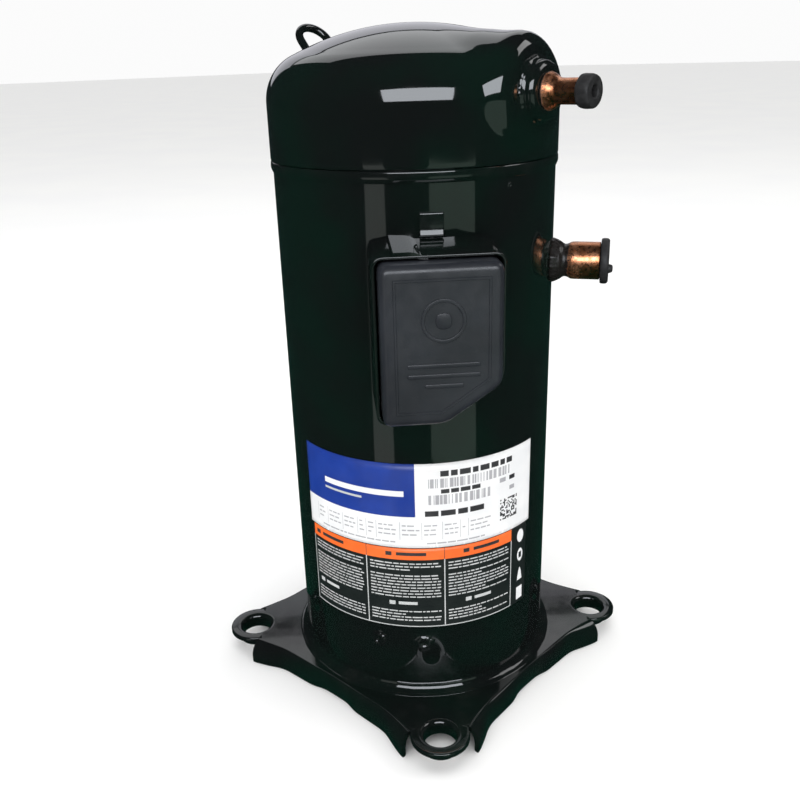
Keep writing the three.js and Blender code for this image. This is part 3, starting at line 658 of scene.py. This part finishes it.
def plug_weld(build, azimuth, height, radius):
    """A low crater-shaped bead that grows smoothly out of the shell."""
    rings, sides = 14, 40
    points = []
    for i in range(rings + 1):
        share = i / rings
        lift = 0.16 * radius * math.exp(-((share - 0.45) / 0.23) ** 2) - 0.05
        for j in range(sides):
            angle = 2 * math.pi * j / sides
            reach = radius * share * (1 + ripple(angle, radius, 0.12) * share)
            turn = math.radians(azimuth) + reach * math.cos(angle) / SHELL_R
            out = SHELL_R + lift
            points.append((out * math.cos(turn), out * math.sin(turn), height + reach * math.sin(angle)))
    faces = []
    for i in range(rings):
        a, b = i * sides, (i + 1) * sides
        faces += [[a + j, a + (j + 1) % sides, b + (j + 1) % sides, b + j] for j in range(sides)]
    faces.append([rings * sides + j for j in range(sides)])
    build.add(points, faces)


def pad_distance(origin, ray):
    """How far along a ray the discharge pad reaches: a drum with a round rim that narrows inwards."""
    def inside(t):
        p = origin + ray * t
        across = math.hypot(p.y, p.z - DISCHARGE_Z)
        edge = PAD_FACE - PAD_EDGE
        if p.x > PAD_FACE:
            return False
        if p.x > edge:
            return across < PAD_R - PAD_EDGE + math.sqrt(PAD_EDGE ** 2 - (p.x - edge) ** 2)
        return across < PAD_R - max(PAD_TAPER_X - p.x, 0) / PAD_TAPER

    near, far = 0.0, 160.0
    for _ in range(26):
        middle = (near + far) / 2
        near, far = (middle, far) if inside(middle) else (near, middle)
    return near


def cap_piece():
    """Domed cap, with the pad for the discharge fitting blended into its shoulder."""
    knuckle_x = CAP_R - KNUCKLE_R
    crown_z = CAP_TOP - CROWN_R
    meet = math.degrees(math.atan2(KNUCKLE_Z - crown_z, knuckle_x))
    low = CAP_LOW.z
    outer = [(CAP_R - 0.8, low), (CAP_R - 0.2, low + 0.3), (CAP_R, low + 0.9)]
    outer += [(CAP_R, low + 1 + (KNUCKLE_Z - low - 1) * i / 16) for i in range(1, 16)]
    outer += arc(knuckle_x, KNUCKLE_Z, KNUCKLE_R, 0, meet, 26)
    outer += arc(0, crown_z, CROWN_R, meet, 90, 26)[1:-1] + [(0, CAP_TOP)]
    inner = [(0, CAP_TOP - SHEET)] + arc(0, crown_z, CROWN_R - SHEET, 90, meet, 8)[1:]
    inner += arc(knuckle_x, KNUCKLE_Z, KNUCKLE_R - SHEET, meet, 0, 8)[1:]
    inner += [(CAP_R - SHEET, low), (CAP_R - 0.8, low)]
    origin = Vector((40, 0, 405))          # inside both the dome and the pad
    untouched = low + 1.5                  # below this the wall stays round
    sides = 256
    points = []
    for i in range(sides):
        angle = 2 * math.pi * i / sides
        for radius, height in outer:
            p = Vector((radius * math.cos(angle), radius * math.sin(angle), height))
            offset = p - origin
            plain = offset.length
            if p.x > PAD_REACH_X and height > untouched:
                padded = pad_distance(origin, offset / plain)
                overlap = max(PAD_BLEND - abs(plain - padded), 0) / PAD_BLEND
                fade = min((height - untouched) / 8, 1)
                reach = max(plain, padded) + overlap ** 2 * PAD_BLEND / 4
                p = origin + offset * (1 + (reach / plain - 1) * fade)
            points.append(tuple(p))
    count = len(outer)
    faces = []
    for i in range(sides):
        a, b = i * count, (i + 1) % sides * count
        faces += [[a + j, b + j, b + j + 1, a + j + 1] for j in range(count - 1)]
    build = Build()
    build.add(points, faces)
    build.lathe(inner, ROUND)
    build.painted("domed_cap", CAP_PAINT, "top_cap", 60)


def weld_rings():
    """The fillet weld at the foot of the shell and the bead under the cap."""
    foot = Build()
    top, low = 24.4, SHELL_LOW.z - 0.3
    face = arc(99.4, 25.2, 7.0, 262, 184, 9)
    fillet = [(SHELL_R - 0.4, low), (98.6, low), *face, (SHELL_R - 0.4, top + 0.6)]
    foot.lathe(fillet, ROUND * 2, change=weld_change(2.0, 0.22))
    foot.painted("foot_weld", BASE_PAINT, "base_weld", 60)
    bead = Build()
    ridge = [(91.6, 370.2), (92.5, 370.2), (93.7, 373.0), (93.5, 376.6), (92.9, 377.4), (91.6, 377.4)]
    bead.lathe(softened(ridge, 1.2, 4), ROUND * 2, change=weld_change(1.0, 0.16))
    bead.painted("cap_bead", TRIM_PAINT, "cap_weld", 60)


shell_piece()
cap_piece()
weld_rings()


# ---------------------------------------------------------------- lifting loop

def lifting_loop():
    """Round rod bent into an eye, its two feet welded to the shoulder."""
    rod, half = 2.75, 12.0
    tilt = math.radians(47)
    foot = Vector((-(CAP_R - KNUCKLE_R), 0, KNUCKLE_Z))
    up = Vector((-math.cos(tilt), 0, math.sin(tilt)))
    side = Vector((0, 1, 0))
    start, bend = KNUCKLE_R - 1.0, KNUCKLE_R + 20.5
    profile = [(-half, start + (bend - start) * i / 8) for i in range(8)]
    profile += [(x, bend + y) for x, y in arc(0, 0, half, 180, 0, 24)]
    profile += [(half, start + (bend - start) * i / 8) for i in range(7, -1, -1)]
    build = Build()
    place = facing(LOOP_AZIMUTH - 180)
    build.tube([place @ (foot + side * x + up * height) for x, height in profile], rod, 24)
    blob = softened([(0, -1.5), (5.2, -1.5), (4.6, 1.0), (3.0, 2.6), (0, 2.6)], 1.0, 3, closed=False)
    lean = up.to_track_quat("Z", "Y").to_matrix().to_4x4()
    for x in (-half, half):
        spot = place @ Matrix.Translation(foot + side * x + up * KNUCKLE_R)
        build.lathe(blob, 32, spot @ lean, change=lambda a, r, h: (r * (1 + ripple(a, 3.0, 0.1)), h))
    build.painted("lifting_eye", TRIM_PAINT, "lifting_loop", 60)


lifting_loop()


# ---------------------------------------------------------------- discharge and suction fittings

def discharge_fitting():
    """Welded boss, copper stub and the rubber plug in it. Sections are (radius, distance out)."""
    front = BOSS_HIGH.x
    place = outward(0, DISCHARGE_Z)
    boss = Build()
    section = [
        (7.6, 90.2), (16.9, 90.2), (16.9, 94.0), (19.9, 94.0), (19.6, 95.8), (17.0, 97.6),
        (16.8, front - 2.5), (14.0, front), (7.6, front),
    ]
    boss.lathe(softened(section, 1.9, 5), PIPE * 2, place,
               change=lambda a, r, h: (r + ripple(a, 4.0, 0.35) * (18 < r < 21), h))
    boss.painted("discharge_boss_ring", TRIM_PAINT, "discharge_boss", 60)

    stub = Build()
    end = STUB_HIGH.x
    flare = [(10.7, front + 0.1), (10.7, front + 0.9), (9.6, 106.2), (8.3, 108.2), (7.3, 110.4), (7.2, 112)]
    rim = [(7.2, end - 0.3), (6.9, end), (6.6, end), (6.4, end - 0.3)]
    section = [(6.4, 80), (7.2, 80), (7.2, front + 0.1), *flare, *rim]
    stub.lathe(softened(section, 0.9, 3), PIPE * 2, place)
    stub.piece("discharge_pipe", DISCHARGE_COPPER, "discharge_stub", "copper", 60)

    plug = Build()
    back, face = end + 0.3, PLUG_HIGH.x
    section = [
        (0, 116), (5.6, 116), (6.1, 117), (6.1, back), (9.0, back), (9.4, back + 2.4), (9.2, face - 1.4),
        (8.3, face), (4.0, face), (3.3, face - 0.8), (3.1, 121.5), (0, 121),
    ]
    plug.lathe(softened(section, 0.9, 3, closed=False), PIPE * 2, place,
               change=lambda a, r, h: (r + 0.12 * math.sin(6 * a) * (r > 8.5), h))
    plug.piece("discharge_stopper_rubber", RUBBER, "discharge_plug", "black_rubber", 50,
               body="discharge_stopper")


def suction_fitting():
    """Copper stub, necked in past its weld, and the rubber cap over its end."""
    place = outward(SUCTION_AZIMUTH, SUCTION_Z)
    end = 123.4
    stub = Build()
    weld = [(12.2, 91.0), (14.4, 91.4), (14.2, 93.4), (13.0, 96.2), (12.5, 97.6)]
    neck = [(10.9, 99.6), (10.5, 101.0), (11.0, 102.8), (12.1, 104.9), (12.2, 106.5)]
    rim = [(12.2, end - 0.4), (11.9, end), (11.5, end), (11.2, end - 0.4)]
    section = [(11.2, 85), (12.2, 85), *weld, *neck, *rim, (11.2, 104), (9.7, 101), (11.2, 97.6)]
    stub.lathe(softened(section, 1.0, 4), PIPE * 2, place,
               change=lambda a, r, h: (r + ripple(a, 5.0, 0.4) * (r > 12.9), h))
    stub.piece("suction_pipe", SUCTION_COPPER, "suction_stub", "copper", 60)

    cap = Build()
    back, face = end + 0.3, 129.0
    section = [
        (0, 122), (9.4, 122), (9.4, 115), (10.9, 115), (10.9, back), (14.4, back), (14.8, back + 2),
        (14.6, face - 1), (13.6, face), (3, face - 0.2), (0, face - 0.2),
    ]
    cap.lathe(softened(section, 0.8, 3, closed=False), PIPE * 2, place)
    nub = [(0, -0.5), (3.2, -0.5), (2.9, 1.0), (2.3, 2.6), (1.2, 3.0), (0, 3.0)]
    out = Vector(direction(SUCTION_AZIMUTH)) * (face - 0.3)
    spot = Matrix.Translation(out - Vector((0, 0, 5)))
    cap.lathe(softened(nub, 0.7, 3, closed=False), 32, spot @ place)
    cap.piece("suction_cap_rubber", RUBBER, "suction_cap", "black_rubber", 50, body="suction_stopper")


discharge_fitting()
suction_fitting()


# ---------------------------------------------------------------- terminal box

# [across, height] in the plane of the box's face.
FENCE_CORNERS = [(37.3, 337.0), (-37.3, 337.0), (-37.3, 238.5), (1.5, 238.5), (37.3, 262.5)]
COVER_CORNERS = [(34.3, 334.0), (-34.3, 334.0), (-34.3, 241.5), (1.5, 241.5), (34.3, 264.0)]


def on_shell(across, clearance=-0.4):
    """How far out the shell lies at a distance across its face."""
    return math.sqrt(SHELL_R ** 2 - across ** 2) + clearance


def top_fall(out):
    """The top wall is this much higher here than at the rim: it falls slightly from the shell outwards."""
    return 2.4 * (BOX_RIM - out) / (BOX_RIM - SHELL_R)


def fence_ring(inset, out=None):
    """One ring of the fence's wall, at the shell where out isn't given."""
    ring = []
    for across, height in inset_polygon(FENCE_CORNERS, inset, 7, 8):
        reach = on_shell(across) if out is None else out
        share = min(max((height - 325) / 10, 0), 1)
        ring.append((reach, across, height + share * top_fall(reach)))
    return ring


def terminal_fence():
    """Sheet wall round the terminals, its rim rounded on both edges, with the lap where its ends meet."""
    sheet = 2.0
    place = facing(BOX_AZIMUTH)
    build = Build()
    steps = [(0, None), (0, 97), (0, BOX_RIM - 0.7), (0.25, BOX_RIM - 0.15), (0.7, BOX_RIM)]
    rings = [fence_ring(inset, out) for inset, out in steps]
    rings += [fence_ring(sheet - inset, out) for inset, out in reversed(steps)]
    build.loft(rings, place, cap=False)
    lap_low = [(-26, 336.7), (-17, 336.7), (-14, 336.2), (-10.5, 334.7), (-6, 334.4)]
    lap_high = [(-6, 336.4), (-10, 337.0), (-13, 338.4), (-16, 338.9), (-25.4, 338.9), (-26, 338.3)]
    lap = softened(lap_low + lap_high, 0.8, 3)
    outs = [on_shell(20) - 1.5, BOX_RIM - 0.5, BOX_RIM - 0.1]
    build.loft([[(out, a, h + top_fall(out)) for a, h in lap] for out in outs], place)
    build.painted("terminal_box_fence", FENCE_PAINT, "terminal_fence", 50)


def raised(build, place, corners, radius, face, height):
    """A low flat-topped shape with soft edges, standing on the cover's face."""
    levels = [(0, -0.4), (0, height * 0.5), (height * 0.3, height * 0.85), (height * 0.8, height)]
    outline = [(up, inset_polygon(corners, inset, radius, 5)) for inset, up in levels]
    build.loft([[(face + up, a, h) for a, h in ring] for up, ring in outline], place)


def rectangle(centre, width, height):
    (a, h), w, v = centre, width / 2, height / 2
    return [(a + w, h + v), (a - w, h + v), (a - w, h - v), (a + w, h - v)]


def terminal_cover():
    """Snap-on cover: soft edges, a raised border line and a plain ring and bars in place of any mark."""
    place = facing(BOX_AZIMUTH)
    back, face = COVER_BACK, COVER_FACE - 0.5
    edge, wall = 4.2, 2.4
    hollow = [(edge + 0.6, face - wall), (wall + 0.5, face - wall - 1.5), (wall, back + 3), (wall, back)]
    side = [(0.0, back), (0.0, back + 3)]
    turns = np.radians(np.linspace(90, 0, 8))
    corner = [(edge * (1 - math.sin(a)), face - edge * (1 - math.cos(a))) for a in turns]
    border = [(7.4, face), (7.7, face + 0.38), (8.7, face + 0.38), (9.0, face)]
    rings = []
    for inset, out in hollow + side + corner + border:
        rings.append([(out, a, h) for a, h in inset_polygon(COVER_CORNERS, inset, 6, 6)])
    build = Build()
    build.loft(rings, place)
    hoop = softened([(10.4, -0.4), (10.6, 0.5), (12.4, 0.5), (12.6, -0.4)], 0.25, 3)
    centre = (0.5, 303)
    spot = place @ Matrix.Translation((face, *centre)) @ Matrix.Rotation(math.pi / 2, 4, "Y")
    build.lathe(hoop, PIPE, spot)
    raised(build, place, rectangle(centre, 9, 9), 4.4, face, 0.5)
    for height, width in ((277.5, 41), (271.5, 41), (265.5, 22)):
        raised(build, place, rectangle((0.5, height), width, 2.4), 1.2, face, 0.45)
    build.piece("terminal_box_cover", COVER_PLASTIC, "terminal_cover", "moulded_plastic", 40, body="cover")


def fence_tab():
    """Small plate on the shell above the fence, its lower edge rolled outwards."""
    place = facing(BOX_AZIMUTH)
    build = Build()
    low, high, half, sheet = 340.0, 354.3, 7.0, 1.8
    roll = [(0.0, low + 1.2), (0.9, low), (2.4, low), (3.1, low + 1.2), (2.5, low + 2.8)]
    plate = [(sheet + 0.2, low + 4.5), (sheet, high - 0.8), (sheet - 0.6, high), (0.0, high)]
    section = softened(roll + plate, 0.8, 3)
    rings = []
    for across in (-half, -half + 0.3, *np.linspace(-half + 0.6, half - 0.6, 9), half - 0.3, half):
        pinch = 0.35 if abs(across) == half else 0.0
        rings.append([(on_shell(across, 0.1) + max(x - pinch, 0) * 0.8, across, z) for x, z in section])
    build.loft(rings, place)
    build.painted("fence_tab_plate", TRIM_PAINT, "fence_tab", 50)


terminal_fence()
terminal_cover()
fence_tab()


# ---------------------------------------------------------------- labels

INKS = [WHITE_INK, BLUE_INK, GREY_INK, DARK_INK, ORANGE_INK, PANEL_INK, PALE_INK]
WHITE, BLUE, GREY, DARK, ORANGE, PANEL, PALE = range(len(INKS))
LABEL_SPAN = {"nameplate_label": (-105.5, 4.5), "warning_label": (-104.0, 2.5)}     # azimuths


def printed_label(name, node, ground, marks):
    """A film wrapped on the shell, cut along the edges of its printed blocks.

    A mark is (azimuth from, azimuth to, low, high, ink). A later mark covers an earlier one.
    """
    low, high = cad_box(node)
    left, right = LABEL_SPAN[node]
    azimuths = {left, right, *np.arange(left + 1.3, right, 1.4)}
    heights = {low.z, high.z, (low.z + high.z) / 2}
    for a0, a1, h0, h1, _ in marks:
        azimuths |= {a0, a1}
        heights |= {h0, h1}
    azimuths = sorted(a for a in azimuths if left <= a <= right)
    heights = sorted(h for h in heights if low.z <= h <= high.z)
    mid_a = (np.array(azimuths[1:]) + np.array(azimuths[:-1])) / 2
    mid_h = (np.array(heights[1:]) + np.array(heights[:-1])) / 2
    inks = np.full((len(mid_h), len(mid_a)), ground)
    for a0, a1, h0, h1, colour in marks:
        rows = (mid_h > h0) & (mid_h < h1)
        columns = (mid_a > a0) & (mid_a < a1)
        inks[np.ix_(rows, columns)] = colour
    radius = SHELL_R + 0.42
    points = [on_wall(a, radius, h) for h in heights for a in azimuths]
    count = len(azimuths)
    faces = []
    for row in range(len(heights) - 1):
        a, b = row * count, (row + 1) * count
        faces += [[a + c, a + c + 1, b + c + 1, b + c] for c in range(count - 1)]
    inks = inks.ravel().tolist()
    piece = finish_mesh(name, points, faces, INKS, replaces=[node], inks=inks)
    film = piece.modifiers.new("film", "SOLIDIFY")
    film.thickness = 0.34 * MM
    film.offset = -1
    return piece


def word_bars(left, right, low, high, colour, word=(1.4, 5.0), space=0.55):
    """A row of plain bars of uneven length, standing for a row of print."""
    bars = []
    at = left
    while at < right - word[0]:
        end = min(at + random.uniform(*word), right)
        bars.append((at, end, low, high, colour))
        at = end + space
    return bars


def stripes(left, right, low, high):
    """Plain upright stripes of uneven width."""
    bars = []
    at = left
    while at < right:
        end = min(at + random.choice((0.35, 0.7, 1.1, 1.5)), right)
        bars.append((at, end, low, high, GREY))
        at = end + random.choice((0.35, 0.6, 1.0))
    return bars


def nameplate():
    """A blue block, rows of bars and stripes, a grid of random squares and a ruled table of bars."""
    low, high = cad_box("nameplate_label")
    marks = [(LABEL_SPAN["nameplate_label"][0], -51.5, 157.7, high.z, BLUE)]
    marks += [(-93.0, -56.0, 172.4, 176.4, WHITE), (-93.0, -74.0, 168.2, 169.8, PALE)]
    marks += word_bars(-41.2, -8.2, 186.4, 190.4, DARK, (2.2, 6.0), 0.9)
    marks += stripes(-46.1, -9.6, 178.4, 184.9)
    marks += word_bars(-41.0, -24.2, 174.2, 177.2, DARK, (2.0, 4.5), 0.7)
    marks += stripes(-46.1, -19.6, 166.4, 173.2)
    marks += word_bars(-47.6, -18.8, 157.9, 161.9, DARK, (3.0, 6.5), 1.0)
    marks += [(-14.8, -11.6, 173.4, 176.6, GREY), (-9.6, -6.4, 173.4, 176.6, DARK)]
    marks.append((-9.4, -6.6, 166.0, 169.0, GREY))
    cells, grid_left, grid_low, pitch_a, pitch_h = 14, -14.4, 144.8, 0.69, 1.12
    for row in range(cells):
        for column in range(cells):
            if random.random() < 0.5:
                a, h = grid_left + column * pitch_a, grid_low + row * pitch_h
                marks.append((a, a + pitch_a, h, h + pitch_h, DARK))
    columns = (-99, -92.5, -84, -76.5, -72.5, -68, -58, -49, -40.5, -33, -29.5, -18)
    for start, end in zip(columns, columns[1:]):
        marks.append((start - 0.09, start + 0.09, 140.6, 153.6, GREY))
        for row in range(3):
            height = 150.6 - 3.3 * row
            stop = end - random.uniform(0.8, 2.2)
            marks += word_bars(start + 0.9, stop, height, height + 1.0, GREY, (1.2, 3.0))
    marks += word_bars(-96, -60, 138.2, 139.2, GREY) + word_bars(-47, -22, 137.4, 138.4, GREY)
    marks = [m for m in marks if m[2] > low.z]
    printed_label("nameplate_film_print", "nameplate_label", WHITE, marks)


def warning_panel():
    """Dark panels of plain bars under an orange band, with four plain symbols beside them."""
    low, high = cad_box("warning_label")
    top, foot = high.z, low.z
    left, right, dividers = -103.4, -7.6, (-73.0, -39.8)
    band = top - 8.6
    line_pitch, heading_row, blank_rows = 2.35, 13, (3, 12, 14, 15)
    marks = [(left, right, band, top, ORANGE)]
    for a in (left, *dividers, right):
        marks.append((a - 0.22, a + 0.22, foot + 0.4, band, PALE))
    marks.append((left - 0.2, right + 0.2, foot + 0.4, foot + 1.1, PALE))
    for a in dividers:
        marks.append((a - 0.12, a + 0.12, band, top, DARK))
    for start, end in zip((left, *dividers), (*dividers, right)):
        middle = (start + end) / 2 if start != left else start + 10
        marks.append((middle - 8, middle - 5.4, band + 2.8, band + 5.8, DARK))
        marks.append((middle - 3.5, middle + 9, band + 3.2, band + 5.6, DARK))
        height = band - 3.0
        row = 0
        while height > foot + 4:
            if row == heading_row:
                marks.append((middle - 7, middle - 4.4, height - 2.0, height + 1.0, PALE))
                marks.append((middle - 3, middle + 5, height - 1.6, height + 0.7, PALE))
            elif row not in blank_rows:
                stop = end - 1.6 if random.random() < 0.7 else end - random.uniform(6, 16)
                marks += word_bars(start + 1.6, stop, height - 0.45, height + 0.45, PALE, (1.0, 4.2), 0.5)
            height -= line_pitch
            row += 1
    marks += symbol(-1.6, 125.6, lambda t: 2.2 * math.sqrt(max(1 - t * t, 0)))
    marks += symbol(-1.6, 110.4, lambda t: 1.9 * math.sqrt(max(1 - t * t, 0)))
    marks.append((-2.5, -0.7, 108.0, 112.8, PANEL))
    marks += symbol(-1.6, 95.1, lambda t: 1.7 * (1 - (t + 1) / 2) ** 0.6)
    marks += symbol(-1.6, 79.4, lambda t: 2.0)
    printed_label("warning_film_print", "warning_label", PANEL, marks)


def symbol(azimuth, height, half_width):
    """A plain stepped shape 10 mm high. half_width gives degrees, from -1 at its foot to 1 at its top."""
    steps = 7
    bars = []
    for i in range(2 * steps):
        t = (i + 0.5) / steps - 1
        half = half_width(t)
        low, high = height + 5 * (t - 0.5 / steps), height + 5 * (t + 0.5 / steps)
        bars.append((azimuth - half, azimuth + half, low, high, WHITE))
    return bars


nameplate()
warning_panel()


# ---------------------------------------------------------------- inner parts, carried over from the frame

# For each slot: colour, darker colour, size of the marks, roughness, metallic, then their stretch and depth.
INNER_FINISHES = {
    "bright_steel": ((0.50, 0.51, 0.52), (0.40, 0.41, 0.42), 1.2, 0.3, 1.0, (0.3, 0.3, 5)),
    "machined_iron": ((0.22, 0.22, 0.22), (0.14, 0.14, 0.145), 1.0, 0.5, 1.0, None, 0.08),
    "lamination_steel": ((0.34, 0.35, 0.37), (0.24, 0.25, 0.27), 0.6, 0.42, 1.0, (0.1, 0.1, 6)),
    "enamelled_wire": ((0.42, 0.13, 0.04), (0.26, 0.07, 0.02), 1.1, 0.3, 0.3, (0.3, 0.3, 3), 0.3),
    "bearing_bronze": ((0.56, 0.38, 0.17), (0.43, 0.28, 0.12), 1.0, 0.3),
    "cast_aluminium": ((0.62, 0.63, 0.65), (0.52, 0.53, 0.55), 1.4, 0.42, 1.0, None, 0.06),
    "sealing_glass": ((0.02, 0.07, 0.045), (0.03, 0.10, 0.06), 0.8, 0.14, 0.0),
}


def dress_inner_parts():
    """Gives each CAD node that stays visible the finish of its slot."""
    finishes = {slot: machined(slot + "_surface", *values) for slot, values in INNER_FINISHES.items()}
    finishes["moulded_plastic"] = COVER_PLASTIC
    for entry in frame["record"]["subparts"]:
        node = frame["nodes"][entry["node"]]
        material = finishes.get(entry["material_slot"])
        if node.hide_render or material is None:
            continue
        node.data.materials.clear()
        node.data.materials.append(material)


dress_inner_parts()


# ---------------------------------------------------------------- floor, light and camera

FLOOR_CORNERS = ((-1, -1), (1, -1), (1, 1), (-1, 1))


def floor():
    """Plain pale ground. Gloss doesn't see it, because the real paint mirrors a dark ground."""
    shape = bpy.data.meshes.new("floor")
    reach = 30.0      # metres
    shape.from_pydata([(reach * x, reach * y, 0) for x, y in FLOOR_CORNERS], [], [[0, 1, 2, 3]])
    n = Nodes("pale_floor")
    tone = n.blend(n.ramp(n.noise(400, 2), 0.3, 0.7), (0.92, 0.92, 0.92), (0.94, 0.94, 0.93))
    shape.materials.append(n.finish(tone, 0.7, 0.0))
    plane = bpy.data.objects.new("floor", shape)
    bpy.context.scene.collection.objects.link(plane)
    plane.visible_glossy = False


def panel(name, azimuth, elevation, distance, width, height, power, color=(1, 1, 1), *, glossy=True,
          diffuse=True):
    """A soft area light that faces the middle of the compressor."""
    light = bpy.data.lights.new(name, "AREA")
    light.shape = "RECTANGLE"
    light.size, light.size_y = width, height
    light.energy = power
    light.color = color
    lamp = bpy.data.objects.new(name, light)
    az, el = math.radians(azimuth), math.radians(elevation)
    away = Vector((math.cos(az) * math.cos(el), math.sin(az) * math.cos(el), math.sin(el)))
    middle = (cad_bounds[0] + cad_bounds[1]) / 2
    lamp.location = middle + away * distance
    lamp.rotation_mode = "QUATERNION"
    lamp.rotation_quaternion = away.to_track_quat("Z", "Y")
    lamp.visible_camera = False
    lamp.visible_glossy = glossy
    lamp.visible_diffuse = diffuse
    bpy.context.scene.collection.objects.link(lamp)


def lighting():
    """Soft panels. Those with diffuse off only give the paint its reflections, and the fills only light."""
    panel("sky_high", 137, 47, 3.0, 2.8, 1.5, 13, (0.97, 0.98, 1.0), diffuse=False)
    panel("sky_low", 137, 21, 3.0, 3.0, 1.1, 8, (0.93, 0.93, 1.0), diffuse=False)
    panel("window_right", -45, 22, 3.4, 3.2, 1.5, 95, (0.90, 0.94, 1.0), diffuse=False)
    panel("side_window", 42, 40, 3.0, 1.2, 1.0, 10)
    panel("low_right", -20, -15, 3.2, 2.1, 1.3, 3.6, (0.75, 0.95, 0.82), diffuse=False)
    panel("low_left", -80, -15, 3.2, 0.9, 1.3, 1.8, (0.9, 0.95, 0.9), diffuse=False)
    panel("overhead_fill", -60, 75, 3.0, 3.4, 3.4, 40, glossy=False)
    panel("front_fill", -70, 25, 3.2, 2.6, 2.0, 22, glossy=False)
    bpy.context.scene.view_settings.view_transform = "Standard"


def surroundings():
    """Pale all round for the eye and for light. Gloss sees a dark room with dark green ground instead."""
    world = bpy.data.worlds.new("studio")
    bpy.context.scene.world = world
    world.use_nodes = True
    tree = world.node_tree
    seen = tree.nodes.new("ShaderNodeLightPath")
    place = tree.nodes.new("ShaderNodeTexCoord")
    split = tree.nodes.new("ShaderNodeSeparateXYZ")
    rise = tree.nodes.new("ShaderNodeMapRange")
    rise.inputs["From Min"].default_value = -0.5
    rise.inputs["From Max"].default_value = 0.15
    room = tree.nodes.new("ShaderNodeMix")
    choice = tree.nodes.new("ShaderNodeMix")
    room.data_type = choice.data_type = "RGBA"
    room.inputs[6].default_value = (0.004, 0.026, 0.017, 1)
    room.inputs[7].default_value = (0.012, 0.013, 0.016, 1)
    choice.inputs[6].default_value = (0.97, 0.97, 0.97, 1)
    tree.links.new(place.outputs["Generated"], split.inputs[0])
    tree.links.new(split.outputs["Z"], rise.inputs["Value"])
    tree.links.new(rise.outputs[0], room.inputs[0])
    tree.links.new(room.outputs[2], choice.inputs[7])
    tree.links.new(seen.outputs["Is Glossy Ray"], choice.inputs[0])
    tree.links.new(choice.outputs[2], tree.nodes["Background"].inputs["Color"])


def camera():
    """Stands to the front right of the terminal box and looks down on it."""
    place = Vector((390.1, -447.34, 436.32)) * MM
    right = Vector((0.74508, 0.66637, -0.0282))
    down = Vector((0.22371, -0.28953, -0.93066))
    data = bpy.data.cameras.new("camera")
    data.sensor_width = 36
    data.lens = 39.26
    data.clip_start = 0.01
    view = bpy.data.objects.new("camera", data)
    turn = Matrix((right, -down, right.cross(-down))).transposed()
    view.matrix_world = Matrix.Translation(place) @ turn.to_4x4()
    bpy.context.scene.collection.objects.link(view)
    bpy.context.scene.camera = view


floor()
lighting()
surroundings()
camera()
